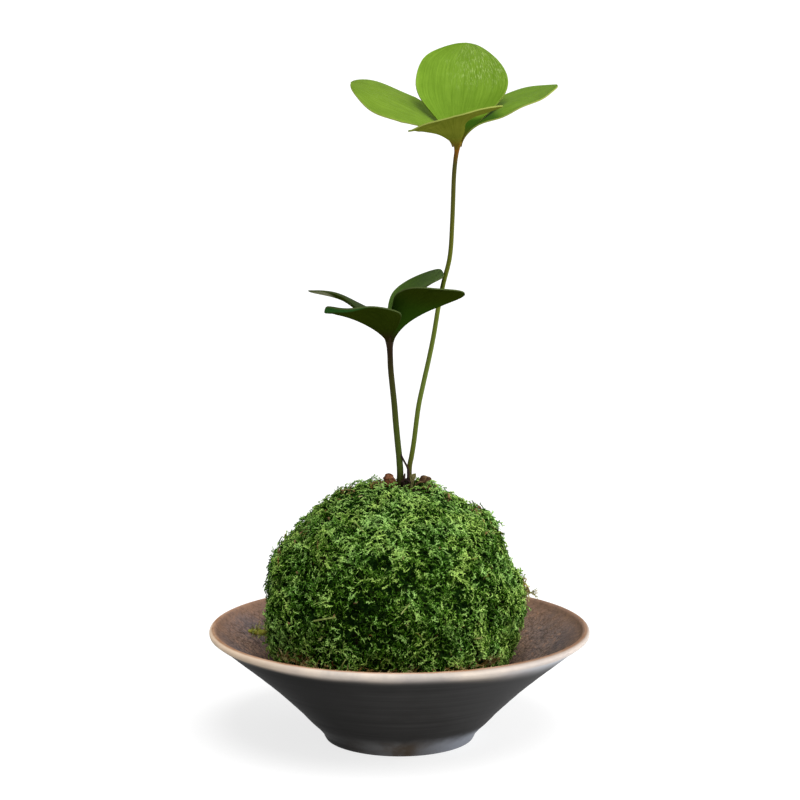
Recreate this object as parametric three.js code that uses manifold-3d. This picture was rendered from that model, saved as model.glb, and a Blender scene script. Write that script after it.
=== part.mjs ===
// A moss ball plant: a soil ball wrapped in moss, with two four-leaved fronds, resting in a bowl.
// Millimetres, +Z up. The origin is the middle of the bowl's foot, on the surface that it stands on.
// The plant is seen from -Y, with +X to the right.

import * as THREE from 'three';
import { mergeVertices } from 'three/addons/utils/BufferGeometryUtils.js';
import { ImprovedNoise } from 'three/addons/math/ImprovedNoise.js';
import Module from 'manifold-3d';

const wasm = await Module();
wasm.setup();

// The room left between two pieces that touch
const GAP = 0.3;

// Bowl. The foot and the wall's outside are points of radius and height.
const BOWL_SIDES = 56;
const FOOT_RECESS = 1.8;
const FOOT_OUTLINE = [[18.4, FOOT_RECESS], [19, 0], [23.2, 0], [24, 0.8], [24.2, 4.2]];
const OUTER_WALL = [[24.2, 4.2], [27, 6.6], [34, 12.6], [46.3, 22.9], [58.2, 32.2]];
const OUTER_WALL_STEPS = 7;
const LIP = { radius: 58.75, height: 33.95, roundness: 1.25, from: 0, to: 150, steps: 4 };
const FLOOR_HEIGHT = 9.5;
const WALL_SLOPE = 0.69;
const WALL_START = 22.2;
const WALL_SOFTNESS = 3;
const INNER_RADII = [56, 42, 34, 29, 25, 21, 16];

// Moss ball
const BALL_CENTRE = new THREE.Vector3(-1.9, 0, 40.6);
const MOSS_RADIUS = 39.9;
const MOSS_THICKNESS = 4.2;
const MOSS_UNDERSIDE = 2.4;
const MOSS_DETAIL = 14;
const HOLLOW_DETAIL = 4;
const SWELL = { size: 34, depth: 2.2 };
const LUMP = { size: 11, depth: 1.9 };
const CREASE = { size: 17, depth: 2.2, sharpness: 40 };

// Tufts, drawn out of the relief at places picked at random
const TUFT_SHARE = 0.36;
const TUFT_HEIGHT = [1.2, 3.2];
const TUFT_LEAN = 1.5;
const TUFT_ROOM = 5;
const TUFT_SEED = 7;

// Shoots that stand out of the moss, larger than life
const SHOOT_COUNT = 110;
const LOWEST_SHOOT = -0.55;
const SHOOT_SPREAD = 0.06;
const SHOOT_SIDES = 3;
const SHOOT_ROOT = 1.4;
const SHOOT_LENGTH = [5, 8];
const SHOOT_LIFT = [1.4, 3.2];
const SHOOT_BEND = { share: 0.3, rise: 0.6 };
const SHOOT_TIP_LIFT = 0.7;
const SHOOT_RADII = [1.2, 0.95];
const SHOOT_STATIONS = [0, 0.55];
const SHOOT_SEED = 20;

// The opening in the moss that the stalks come out of, and the soil that stands in it
const OPENING = { x: 2.2, y: 0, halfWidth: 8.2, halfDepth: 5.2, bottom: 70, top: 94, taper: 0.86, sides: 14 };
const SOIL_TOP = 79.6;

// Stalks, as points from their lower ends in the soil up to the joint that holds the leaves
const STALK_SIDES = 8;
const ROOTLET_SIDES = 6;
const TALL_STALK = {
  points: [
    [3.4, 0, 67], [3.1, 0, 86.1], [3.8, 0.1, 90.6], [4.6, 0.4, 95.7], [5.9, 1.1, 105.9], [7.5, 1.8, 113.5],
    [9.2, 2.4, 121.1], [10.7, 2.8, 128.6], [12.1, 2.5, 137.4], [13.6, 1.4, 144.9], [15.6, 0.5, 153.6],
    [16.3, 0.2, 164.8], [16.7, 0.1, 177.2], [17.1, 0, 182.6], [17.6, 0, 186.4],
  ],
  radii: [[0, 0.75], [0.5, 0.72], [0.95, 0.7], [0.98, 0.85], [1, 1.15]],
  steps: 36,
};
const SHORT_STALK = {
  points: [
    [-0.6, 0, 67], [0.2, 0, 83.6], [0, 0, 89.3], [-0.5, 0, 94.4], [-1.1, 0, 100.8],
    [-1.6, 0, 107.1], [-2.1, 0, 112], [-2.7, 0, 118], [-2.9, 0, 122.5], [-3.05, 0, 126],
  ],
  radii: [[0, 1.1], [0.3, 1.15], [0.6, 0.95], [0.93, 0.95], [1, 1.25]],
  steps: 20,
};
const ROOTLET = {
  points: [[-0.2, -0.3, 91], [1.4, -1.9, 89.6], [3.2, -2.6, 87.2], [3, -2.7, 84], [2.3, -2.7, 80.5]],
  radii: [[0, 0.4], [1, 0.4]],
  steps: 8,
};
const RHIZOME_TIP = {
  points: [[-3.1, -1.3, 76], [-3, -1.3, 81], [-3.3, -1.5, 84], [-3.9, -1.8, 86]],
  radii: [[0, 1.1], [0.55, 1.3], [0.85, 1.15], [1, 0.5]],
  steps: 8,
};

// Blades. Angles are in degrees: turn is the heading from +X towards +Y, rise the slope of the midline
// at the base and beyond it, roll a turn about the midline, cup the curl across the blade at the base
// and at the tip, swing a change of heading towards the tip and droop a drop of the tip.
const BLADE_THICKNESS = 0.62;
const BLADE_ROWS = 11;
const BLADE_COLUMNS = 7;
const MIDLINE_STEPS = 24;
const CLAW_HALF_WIDTH = 0.42;
const FAN_PINCH = 0.95;
const FAN_POWER = 2.6;
const FAN_PEAK = 0.895;
const DROOP_START = 0.62;
const DROOP_POWER = 1.5;
const LEAST_CURL = 1e-4;
const WHORL_RADIUS = 1.45;
const TALL_WHORL = [17.65, 0, 187];
const SHORT_WHORL = [-3.05, 0, 126.6];
const TALL_LEAVES = {
  back: {
    turn: 81, rise: [76, 62], bend: 2.6, roll: 6.5, length: 32.4, halfWidth: 14.3, cup: [40, 16],
    swing: 3, droop: 0, lift: 1.5,
  },
  left: {
    turn: 171, rise: [72, 24], bend: 5.5, roll: -14, length: 37.8, halfWidth: 13.8, cup: [8, -4],
    swing: 11, droop: 1, lift: 0.2,
  },
  right: {
    turn: 15, rise: [70, 25], bend: 5.5, roll: 1.7, length: 36.2, halfWidth: 13.9, cup: [25, -4],
    swing: -1, droop: 5, lift: 0.2,
  },
  front: {
    turn: 266, rise: [58, 16], bend: 6.5, roll: 15.4, length: 32.8, halfWidth: 14, cup: [46, -1],
    swing: 0, droop: 4, lift: 0.2,
  },
};
const SHORT_LEAVES = {
  front_left: {
    turn: 234, rise: [61, 24], bend: 4, roll: 4, length: 29.8, halfWidth: 13.1, cup: [16, 3],
    swing: 1, droop: 44, lift: 0.2,
  },
  front_right: {
    turn: 319.5, rise: [66, 25.5], bend: 3.5, roll: -9.5, length: 32.6, halfWidth: 12.3, cup: [44, 13],
    swing: -5, droop: 8, lift: 0.4,
  },
  back_right: {
    turn: 27, rise: [84, 34], bend: 2.4, roll: -14, length: 26.8, halfWidth: 11.7, cup: [46, 18],
    swing: 1, droop: 3, lift: 1.9,
  },
  back_left: {
    turn: 154.5, rise: [76, 11], bend: 2.6, roll: 13.3, length: 31, halfWidth: 11.8, cup: [6, -6],
    swing: 6, droop: 6, lift: 1,
  },
};

// A dry brown scale that stands in the opening beside the tall stalk
const DRY_SCALE_BASE = [5.4, -1.4, 80.6];
const DRY_SCALE = {
  turn: -8, rise: [62, 30], bend: 1.4, roll: 20, length: 7.4, halfWidth: 1.7, cup: [50, 30],
  swing: 0, droop: 0, lift: 0,
};

const FINISHES = {
  bowl: { color: 0x34312f, roughness: 0.5 },
  moss: { color: 0x3f7a2a, roughness: 0.95 },
  soil: { color: 0x2a2018, roughness: 1 },
  tallStalk: { color: 0x6b7a2c, roughness: 0.5 },
  shortStalk: { color: 0x33301a, roughness: 0.5 },
  tallLeaf: { color: 0x86ab3a, roughness: 0.45 },
  shortLeaf: { color: 0x2c4a17, roughness: 0.45 },
  rhizome: { color: 0x5a3320, roughness: 0.8 },
  dryScale: { color: 0x8a6a45, roughness: 0.85 },
};

const noise = new ImprovedNoise();

// A repeatable stream of numbers from 0 to 1
function numberStream(seed) {
  let state = seed;
  return () => {
    state = (state + 0x6d2b79f5) | 0;
    let mixed = Math.imul(state ^ (state >>> 15), 1 | state);
    mixed = (mixed + Math.imul(mixed ^ (mixed >>> 7), 61 | mixed)) ^ mixed;
    return ((mixed ^ (mixed >>> 14)) >>> 0) / 4294967296;
  };
}

function between([low, high], share) {
  return low + (high - low) * share;
}

// The value at x of straight runs between [x, value] stops
function along(stops, x) {
  const next = Math.max(1, stops.findIndex((stop) => stop[0] >= x));
  const [[x0, value0], [x1, value1]] = [stops[next - 1], stops[next]];
  return between([value0, value1], (x - x0) / (x1 - x0));
}

function joinSharedPoints(geometry) {
  const bare = geometry.clone();
  bare.deleteAttribute('normal');
  bare.deleteAttribute('uv');
  return mergeVertices(bare);
}

function solidOf(geometry) {
  const shared = joinSharedPoints(geometry);
  return new wasm.Manifold(new wasm.Mesh({
    numProp: 3,
    vertProperties: new Float32Array(shared.getAttribute('position').array),
    triVerts: new Uint32Array(shared.getIndex().array),
  }));
}

function geometryFrom(positions, faces) {
  const geometry = new THREE.BufferGeometry();
  geometry.setAttribute('position', new THREE.Float32BufferAttribute(positions, 3));
  geometry.setIndex(faces);
  return geometry;
}

function geometryOf(solid) {
  const { vertProperties, triVerts } = solid.getMesh();
  return geometryFrom(Array.from(vertProperties), Array.from(triVerts));
}

function named(name, geometry, finish) {
  geometry.computeVertexNormals();
  const mesh = new THREE.Mesh(geometry, new THREE.MeshStandardMaterial({ metalness: 0, ...finish }));
  mesh.name = name;
  return mesh;
}

// Closes a run of rings of points into one surface. A ring of one point is an end.
function skin(rings) {
  const positions = rings.flat().flatMap((point) => point.toArray());
  const faces = [];
  let first = 0;
  for (let k = 0; k + 1 < rings.length; k += 1) {
    const here = rings[k].length;
    const next = rings[k + 1].length;
    for (let j = 0; j < Math.max(here, next); j += 1) {
      const a = first + (j % here);
      const b = first + ((j + 1) % here);
      const c = first + here + ((j + 1) % next);
      const d = first + here + (j % next);
      if (here > 1) faces.push(a, b, c);
      if (next > 1) faces.push(a, c, d);
    }
    first += here;
  }
  return geometryFrom(positions, faces);
}

function ringAround(centre, across, over, radius, sides) {
  return Array.from({ length: sides }, (_, j) => {
    const angle = (2 * Math.PI * j) / sides;
    return centre.clone()
      .addScaledVector(across, radius * Math.cos(angle))
      .addScaledVector(over, radius * Math.sin(angle));
  });
}

// A round stem along a smooth curve through points, wider by extra all round
function stem({ points, radii, steps }, sides, extra = 0) {
  const route = new THREE.CatmullRomCurve3(points.map((point) => new THREE.Vector3(...point)));
  const { normals, binormals } = route.computeFrenetFrames(steps);
  const rings = normals.map((normal, i) => {
    const radius = along(radii, i / steps) + extra;
    return ringAround(route.getPointAt(i / steps), normal, binormals[i], radius, sides);
  });
  return skin([[route.getPointAt(0)], ...rings, [route.getPointAt(1)]]);
}

// The height of the bowl's inside at a distance from its axis: a flat floor that eases into a straight wall
function bowlInside(radius) {
  const reach = (radius - WALL_START) / WALL_SOFTNESS;
  return FLOOR_HEIGHT + WALL_SLOPE * WALL_SOFTNESS * Math.log1p(Math.exp(reach));
}

function bowl() {
  const wall = new THREE.SplineCurve(OUTER_WALL.map((point) => new THREE.Vector2(...point)));
  const lip = Array.from({ length: LIP.steps + 1 }, (_, i) => {
    const angle = THREE.MathUtils.degToRad(between([LIP.from, LIP.to], i / LIP.steps));
    return [LIP.radius + LIP.roundness * Math.cos(angle), LIP.height + LIP.roundness * Math.sin(angle)];
  });
  const inside = INNER_RADII.map((radius) => [radius, bowlInside(radius)]);
  const profile = [
    [0, FOOT_RECESS], ...FOOT_OUTLINE, ...wall.getPoints(OUTER_WALL_STEPS).slice(1).map((p) => p.toArray()),
    ...lip, ...inside, [0, FLOOR_HEIGHT],
  ];
  const turned = new THREE.LatheGeometry(profile.map((p) => new THREE.Vector2(...p)), BOWL_SIDES);
  return turned.rotateX(Math.PI / 2);
}

function relief(at, { size, depth }) {
  return depth * noise.noise(at.x / size, at.y / size, at.z / size);
}

// How far the moss reaches from the ball's centre in a direction
function mossRadius(direction) {
  const at = direction.clone().multiplyScalar(MOSS_RADIUS);
  const crease = relief(at, { size: CREASE.size, depth: 1 });
  return MOSS_RADIUS + relief(at, SWELL) + relief(at, LUMP)
    - CREASE.depth * (1 - Math.abs(crease)) ** CREASE.sharpness;
}

// Lifts a point that would reach into the bowl to stand clear of its inside
function clearOfBowl(point, clearance) {
  const floor = bowlInside(Math.hypot(point.x, point.y)) + clearance;
  point.z = Math.max(point.z, floor);
  return point;
}

function ballPoint(direction, radius, clearance) {
  return clearOfBowl(BALL_CENTRE.clone().addScaledVector(direction, radius), clearance);
}

// A ball with a point made for each direction
function ball(pointAt, detail) {
  const geometry = joinSharedPoints(new THREE.IcosahedronGeometry(1, detail));
  const position = geometry.getAttribute('position');
  for (let i = 0; i < position.count; i += 1) {
    const direction = new THREE.Vector3().fromBufferAttribute(position, i).normalize();
    position.setXYZ(i, ...pointAt(direction).toArray());
  }
  return solidOf(geometry);
}

// Points of the moss's outside. Some are drawn out into leaning tufts where there is room for one.
function mossPoints() {
  const random = numberStream(TUFT_SEED);
  return (direction) => {
    const point = ballPoint(direction, mossRadius(direction), GAP);
    const height = between(TUFT_HEIGHT, random());
    const heading = random() * 2 * Math.PI;
    const drawn = random() < TUFT_SHARE;
    if (drawn && point.z - bowlInside(Math.hypot(point.x, point.y)) > TUFT_ROOM) {
      const lean = new THREE.Vector3(Math.cos(heading), Math.sin(heading), 0).cross(direction);
      point.addScaledVector(direction, height).addScaledVector(lean, TUFT_LEAN);
    }
    return point;
  };
}

// An upright plug of the opening's outline, smaller by inset all round
function openingPlug(bottom, top, inset) {
  const width = (z) => between([OPENING.taper, 1], (z - OPENING.bottom) / (OPENING.top - OPENING.bottom));
  const plug = new THREE.CylinderGeometry(width(top), width(bottom), top - bottom, OPENING.sides);
  plug.rotateX(Math.PI / 2);
  plug.scale(OPENING.halfWidth - inset, OPENING.halfDepth - inset, 1);
  plug.translate(OPENING.x, OPENING.y, (bottom + top) / 2);
  return solidOf(plug);
}

// One shoot: it leaves the moss, bends over and ends in a point
function shoot(direction, random) {
  const surface = ballPoint(direction, mossRadius(direction), GAP);
  const heading = random() * 2 * Math.PI;
  const side = new THREE.Vector3(-direction.y, direction.x, 0).normalize();
  const ahead = side.clone().applyAxisAngle(direction, heading);
  const length = between(SHOOT_LENGTH, random());
  const lift = between(SHOOT_LIFT, random());
  const curve = new THREE.QuadraticBezierCurve3(
    surface.clone().addScaledVector(direction, -SHOOT_ROOT),
    surface.clone().addScaledVector(direction, lift + SHOOT_BEND.rise)
      .addScaledVector(ahead, length * SHOOT_BEND.share),
    surface.clone().addScaledVector(direction, lift * SHOOT_TIP_LIFT).addScaledVector(ahead, length),
  );
  const rings = SHOOT_STATIONS.map((share, i) => {
    const tangent = curve.getTangent(share);
    const across = new THREE.Vector3().crossVectors(direction, tangent).normalize();
    const over = new THREE.Vector3().crossVectors(tangent, across);
    return ringAround(curve.getPoint(share), across, over, SHOOT_RADII[i], SHOOT_SIDES);
  });
  return [[curve.getPoint(0)], ...rings, [curve.getPoint(1)]];
}

function isClear(ring) {
  return ring.every((point) => {
    const aboveBowl = point.z - bowlInside(Math.hypot(point.x, point.y));
    const x = (point.x - OPENING.x) / (OPENING.halfWidth + GAP);
    const y = (point.y - OPENING.y) / (OPENING.halfDepth + GAP);
    return aboveBowl > GAP && (point.z < BALL_CENTRE.z || Math.hypot(x, y) > 1);
  });
}

// Shoots spread evenly over the ball by the golden angle, each nudged at random
function shoots() {
  const random = numberStream(SHOOT_SEED);
  const goldenAngle = Math.PI * (3 - Math.sqrt(5));
  const spread = () => (random() - 0.5) * SHOOT_SPREAD;
  return Array.from({ length: SHOOT_COUNT }, (_, k) => {
    const height = between([1, LOWEST_SHOOT], (k + 0.5) / SHOOT_COUNT);
    const reach = Math.sqrt(1 - height * height);
    const angle = k * goldenAngle;
    const direction = new THREE.Vector3(reach * Math.cos(angle), reach * Math.sin(angle), height);
    direction.add(new THREE.Vector3(spread(), spread(), spread())).normalize();
    return shoot(direction, random);
  }).filter((rings) => rings.every(isClear)).map((rings) => solidOf(skin(rings)));
}

function mossCover() {
  const inside = MOSS_RADIUS - MOSS_THICKNESS;
  const outer = ball(mossPoints(), MOSS_DETAIL);
  const hollow = ball((direction) => ballPoint(direction, inside, MOSS_UNDERSIDE), HOLLOW_DETAIL);
  const grown = shoots().reduce((moss, piece) => moss.add(piece), outer);
  return geometryOf(grown.subtract(hollow).subtract(openingPlug(OPENING.bottom, OPENING.top, 0)));
}

function soilBall() {
  const radius = MOSS_RADIUS - MOSS_THICKNESS - GAP;
  const soil = ball((direction) => ballPoint(direction, radius, MOSS_UNDERSIDE + GAP), HOLLOW_DETAIL);
  const neck = openingPlug(OPENING.bottom, SOIL_TOP, GAP / OPENING.taper);
  const holes = [TALL_STALK, SHORT_STALK, RHIZOME_TIP].map((route) => {
    const [[x, y, z], ...rest] = route.points;
    const deeper = { ...route, points: [[x, y, z - GAP], ...rest] };
    return solidOf(stem(deeper, STALK_SIDES, GAP));
  });
  return geometryOf(holes.reduce((body, hole) => body.subtract(hole), soil.add(neck)));
}

// Half the width of a leaflet at t along it: a narrow wedge that opens into a round fan
function fanHalfWidth(t, halfWidth) {
  const round = Math.sin(Math.acos(1 - 2 * t));
  const wedge = 1 - FAN_PINCH * (1 - t) ** FAN_POWER;
  return Math.max((halfWidth * round * wedge) / FAN_PEAK, CLAW_HALF_WIDTH);
}

// The directions along, across and up out of a blade at t along its midline
function bladeFrame(blade, t) {
  const drop = blade.droop * Math.max(0, (t - DROOP_START) / (1 - DROOP_START)) ** DROOP_POWER;
  const rise = THREE.MathUtils.degToRad(
    blade.rise[1] + (blade.rise[0] - blade.rise[1]) * (1 - t) ** blade.bend - drop,
  );
  const heading = THREE.MathUtils.degToRad(blade.turn + blade.swing * t);
  const roll = THREE.MathUtils.degToRad(blade.roll) * Math.min(1, 2 * t);
  const forward = new THREE.Vector3(
    Math.cos(heading) * Math.cos(rise), Math.sin(heading) * Math.cos(rise), Math.sin(rise),
  );
  const level = new THREE.Vector3(-Math.sin(heading), Math.cos(heading), 0);
  const across = level.applyAxisAngle(forward, roll);
  return { forward, across, up: new THREE.Vector3().crossVectors(forward, across) };
}

// The points across a blade at t: an arc whose edges curl up by the cup angle
function bladeRow(blade, middle, t, count) {
  const { across, up } = bladeFrame(blade, t);
  const halfWidth = fanHalfWidth(t, blade.halfWidth);
  const curl = THREE.MathUtils.degToRad(between(blade.cup, t)) || LEAST_CURL;
  const bendRadius = halfWidth / curl;
  return Array.from({ length: count }, (_, j) => {
    const angle = curl * ((2 * j) / (count - 1) - 1);
    return middle.clone()
      .addScaledVector(across, bendRadius * Math.sin(angle))
      .addScaledVector(up, bendRadius * (1 - Math.cos(angle)));
  });
}

function bladeRows(blade, base) {
  const middle = new THREE.Vector3(...base);
  const rows = [bladeRow(blade, middle, 0, BLADE_COLUMNS)];
  let reached = 0;
  for (let i = 1; i < BLADE_ROWS; i += 1) {
    const t = (1 - Math.cos((Math.PI * i) / (BLADE_ROWS - 1))) / 2;
    for (let step = 0; step < MIDLINE_STEPS; step += 1) {
      const share = (t - reached) / MIDLINE_STEPS;
      const halfway = reached + share * (step + 0.5);
      middle.addScaledVector(bladeFrame(blade, halfway).forward, blade.length * share);
    }
    reached = t;
    rows.push(i < BLADE_ROWS - 1 ? bladeRow(blade, middle, t, BLADE_COLUMNS) : [middle.clone()]);
  }
  return rows;
}

// The way up out of the surface at one point of the rows
function surfaceNormal(rows, i, j) {
  const pick = (row) => row[Math.min(j, row.length - 1)];
  const back = rows[Math.max(i - 1, 0)];
  const ahead = rows[Math.min(i + 1, rows.length - 1)];
  const forward = new THREE.Vector3().subVectors(pick(ahead), pick(back));
  const row = rows[i].length > 1 ? rows[i] : back;
  const from = rows[i].length > 1 ? Math.max(j - 1, 0) : 0;
  const to = rows[i].length > 1 ? Math.min(j + 1, row.length - 1) : row.length - 1;
  const across = new THREE.Vector3().subVectors(row[to], row[from]);
  if (rows[i].length === 1) forward.subVectors(pick(ahead), back[(back.length - 1) / 2]);
  return forward.cross(across).normalize();
}

// Gives rows of points, the last of them a single one, a thickness to both sides
function plate(rows, thickness) {
  const offsets = [-thickness / 2, thickness / 2];
  const layers = offsets.map((offset) => rows.flatMap((row, i) => row.map(
    (point, j) => point.clone().addScaledVector(surfaceNormal(rows, i, j), offset),
  )));
  const columns = rows[0].length;
  const tipRow = rows.length - 1;
  const lower = (i, j) => (i === tipRow ? tipRow * columns : i * columns + j);
  const upper = (i, j) => layers[0].length + lower(i, j);
  const faces = [];
  for (let i = 0; i < tipRow; i += 1) {
    for (let j = 0; j + 1 < columns; j += 1) {
      faces.push(upper(i, j), upper(i + 1, j), upper(i, j + 1));
      faces.push(lower(i, j), lower(i, j + 1), lower(i + 1, j));
      if (i + 1 === tipRow) continue;
      faces.push(upper(i + 1, j), upper(i + 1, j + 1), upper(i, j + 1));
      faces.push(lower(i + 1, j), lower(i, j + 1), lower(i + 1, j + 1));
    }
  }
  const leftEdge = Array.from({ length: tipRow }, (_, i) => [i, 0]);
  const rightEdge = leftEdge.map(([i]) => [i, columns - 1]).reverse();
  const baseEdge = Array.from({ length: columns - 2 }, (_, j) => [0, columns - 2 - j]);
  const rim = [...leftEdge, [tipRow, 0], ...rightEdge, ...baseEdge];
  rim.forEach(([i, j], k) => {
    const [nextI, nextJ] = rim[(k + 1) % rim.length];
    faces.push(upper(nextI, nextJ), upper(i, j), lower(i, j));
    faces.push(upper(nextI, nextJ), lower(i, j), lower(nextI, nextJ));
  });
  return geometryFrom(layers.flat().flatMap((point) => point.toArray()), faces);
}

// A leaf of a whorl: its base stands on a small ring round the end of the stalk
function whorlLeaf(blade, [x, y, z]) {
  const heading = THREE.MathUtils.degToRad(blade.turn);
  const base = [
    x + WHORL_RADIUS * Math.cos(heading), y + WHORL_RADIUS * Math.sin(heading), z + blade.lift,
  ];
  return plate(bladeRows(blade, base), BLADE_THICKNESS);
}

function shortStalk() {
  const stalk = solidOf(stem(SHORT_STALK, STALK_SIDES));
  return geometryOf(stalk.add(solidOf(stem(ROOTLET, ROOTLET_SIDES))));
}

function leaves(prefix, blades, whorl, finish) {
  return Object.entries(blades).map(([place, blade]) => (
    named(`${prefix}_${place}`, whorlLeaf(blade, whorl), finish)
  ));
}

const plant = new THREE.Group();
plant.add(
  named('bowl', bowl(), FINISHES.bowl),
  named('moss_cover', mossCover(), FINISHES.moss),
  named('soil_ball', soilBall(), FINISHES.soil),
  named('tall_stalk', stem(TALL_STALK, STALK_SIDES), FINISHES.tallStalk),
  named('short_stalk', shortStalk(), FINISHES.shortStalk),
  named('rhizome_tip', stem(RHIZOME_TIP, STALK_SIDES), FINISHES.rhizome),
  named('dry_scale', plate(bladeRows(DRY_SCALE, DRY_SCALE_BASE), BLADE_THICKNESS), FINISHES.dryScale),
  ...leaves('tall_leaf', TALL_LEAVES, TALL_WHORL, FINISHES.tallLeaf),
  ...leaves('short_leaf', SHORT_LEAVES, SHORT_WHORL, FINISHES.shortLeaf),
);

export default plant;
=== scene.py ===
"""A moss ball plant in a shallow glazed bowl: two four-leaved fronds grow out of a ball of living moss.

Shapes are worked out in millimetres and written in metres. The viewer looks along +Y, with +X to the right.
"""

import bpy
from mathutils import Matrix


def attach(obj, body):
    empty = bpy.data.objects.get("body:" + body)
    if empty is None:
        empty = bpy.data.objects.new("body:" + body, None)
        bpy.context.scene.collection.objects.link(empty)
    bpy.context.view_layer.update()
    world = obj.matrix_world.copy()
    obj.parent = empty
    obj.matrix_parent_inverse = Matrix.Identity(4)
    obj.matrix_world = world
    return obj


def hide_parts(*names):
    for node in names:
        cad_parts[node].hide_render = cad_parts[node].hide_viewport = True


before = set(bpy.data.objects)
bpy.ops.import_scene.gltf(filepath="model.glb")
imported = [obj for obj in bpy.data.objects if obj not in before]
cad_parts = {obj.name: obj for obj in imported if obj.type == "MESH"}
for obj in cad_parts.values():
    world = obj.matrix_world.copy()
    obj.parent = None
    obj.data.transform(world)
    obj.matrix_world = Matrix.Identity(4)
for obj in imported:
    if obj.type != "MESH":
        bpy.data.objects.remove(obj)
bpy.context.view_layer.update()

import math
import random
from collections import namedtuple

import bpy
import numpy as np
from bpy.props import FloatProperty, FloatVectorProperty, IntProperty, PointerProperty
from mathutils import Vector, noise

bl_info = {
    "name": "Moss Ball Plant",
    "version": (1, 0, 0),
    "blender": (4, 5, 0),
    "location": "View3D > Sidebar > Moss Ball",
    "description": "Dresses a potted moss ball with its bowl, moss, stalks and leaves",
    "category": "Object",
}

MM = 0.001
WHITE = (1, 1, 1)
# Points closer than this are joined, in metres
SAME_PLACE = 2e-6

# The bowl's profile as radius and height
FOOT_RIM = [(0, 1.8), (18.3, 1.8), (18.8, 1.2), (19.1, 0.3), (19.6, 0), (22.7, 0), (23.5, 0.3), (23.9, 1)]
BOWL_WALL = [
    (23.9, 1), (24.5, 2.2), (25.6, 3.6), (27.2, 5.2), (29.1, 7), (31.6, 9.7), (34.8, 12.8), (40.2, 17.8),
    (46.3, 22.9), (52.1, 27.5), (56.6, 31.1), (58.4, 32.3), (59.4, 33),
]
LIP_CENTRE = (58.72, 33.95)
LIP_ROUND = 1.28
LIP_ARC = (-28, 152)
INNER_FLOOR = 9.5
INNER_SLOPE = 0.69
INNER_START = 22.2
INNER_SOFTNESS = 3
# The hand-turned lip stands a little higher than the drawing all round, and leans up towards the viewer
LIP_RAISE = 0.55
LIP_LEAN = 1.15
LEAN_START = 5
LEAN_HEIGHT = 29
LEAN_RADIUS = 59
WALL_STEPS = 46
LIP_STEPS = 15
INSIDE_RADII = np.concatenate([np.linspace(57.1, 30, 26), np.linspace(29, 12, 12), [5, 0]])
RINGS_PER_MM = 2.4
# Where round the lip's arc the inner glaze starts and its brownish line lies, and how soft both are
INNER_GLAZE = (0.56, 0.12)
LIP_LINE = (0.61, 0.14)

# The moss ball
BALL_CENTRE = np.array([-1.9, 0, 40.6])
MAT_RADIUS = 38.4
MAT_UNDERSIDE = 0.25
SHOOT_CLEARANCE = 0.12
SOIL_RADIUS = 35
SOIL_UNDERSIDE = 2.9
SWELLS = ((22, 2.6), (8.5, 2.3))
# Mounds and hollows of the ball: their direction from its centre, how far they rise and how wide they reach
MOUNDS = (
    ((0, 0, 1), 2.3, 26), ((0.715, 0, 0.7), 3.9, 6), ((-0.43, 0, 0.903), 3.3, 6), ((-0.73, 0, 0.68), -1.7, 6),
    ((-0.81, 0, 0.586), -2, 4.5), ((-0.89, 0, 0.454), 1.9, 6),
)
OPENING_CENTRE = (2.2, 0)
OPENING_HALF = (7.2, 4.4)
OPENING_DEPTH = 4.5
# Where the shoots end round the opening, as shares of its half size
FRONT_EDGE = (0.45, 0.85)
BACK_EDGE = (0.85, 1.2)
SOIL_TOP = 79.3
# Clefts between clumps of moss, as runs of points on the ball, where the mat sinks, shoots are sparse and
# painted shade darkens the rest
CLEFTS = [
    [(-0.4, -37, 57.4), (-8.3, -37.5, 55.1), (-15, -36.9, 51.8), (-16.2, -37.7, 46.1), (-14.4, -38.6, 37.9)],
    [(-10.1, -32.8, 63.2), (-4.7, -32.4, 65)],
    [(1.4, -35.1, 61), (9.3, -32.1, 63.1)],
    [(-30.4, -27, 51.1), (-24.8, -33.2, 45.8)],
    [(18.4, -33.1, 52.7), (23, -31.8, 45.5)],
    [(30, 22, 56), (22, 31, 50), (18, 35, 40)],
    [(-20, 28, 60), (-27, 28, 50)],
]
CLEFT_REACH = 2.72
CLEFT_DEPTH = 2.4
CLEFT_BARENESS = 0.92
# Shoots as shares of their length, and how many shapes of them are modelled
SHOOT_GIRTH = 0.055
LEAFLET_GIRTH = 0.058
SHOOT_NARROWING = (1.1, 1, 0.85, 0.75, 0.6)
BARE_SHAPES = 12
LEAFY_SHAPES = 8
TUFT_SHAPES = 4
LEAFY_SEED = 20
LOWEST_SHOOT = -0.72
LITTER_SEED = 5
FLAKE_SHAPES = 6
FLAKES_IN_PATCH = 6
LOOSE_FLAKES = 30

TALL_STALK = [
    (3.4, 0, 76), (3.1, 0, 86.1), (3.8, 0.1, 90.6), (4.6, 0.4, 95.7), (5.9, 1.1, 105.9), (7.5, 1.8, 113.5),
    (9.2, 2.4, 121.1), (10.7, 2.8, 128.6), (12.1, 2.5, 137.4), (13.6, 1.4, 144.9), (15.6, 0.5, 153.6),
    (16.3, 0.2, 164.8), (16.7, 0.1, 177.2), (17.1, 0, 182.6), (17.5, 0, 185.6), (17.65, 0, 187),
    (17.75, 0, 188.1), (17.8, 0, 189), (17.8, 0, 189.5),
]
TALL_STALK_RADII = [
    (0, 0.82), (0.5, 0.74), (0.722, 0.7), (0.778, 0.74), (0.833, 0.95), (0.889, 1.3), (0.944, 1.45), (1, 0.5),
]
SHORT_STALK = [
    (-0.6, 0, 76), (0.2, 0, 83.6), (0, 0, 89.3), (-0.5, 0, 94.4), (-1.1, 0, 100.8),
    (-1.6, 0, 107.1), (-2.1, 0, 112), (-2.7, 0, 118), (-2.9, 0, 122.5), (-3, 0, 125), (-3.05, 0, 126.6),
    (-3.1, 0, 127.8), (-3.1, 0, 128.7), (-3.1, 0, 129.2),
]
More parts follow.
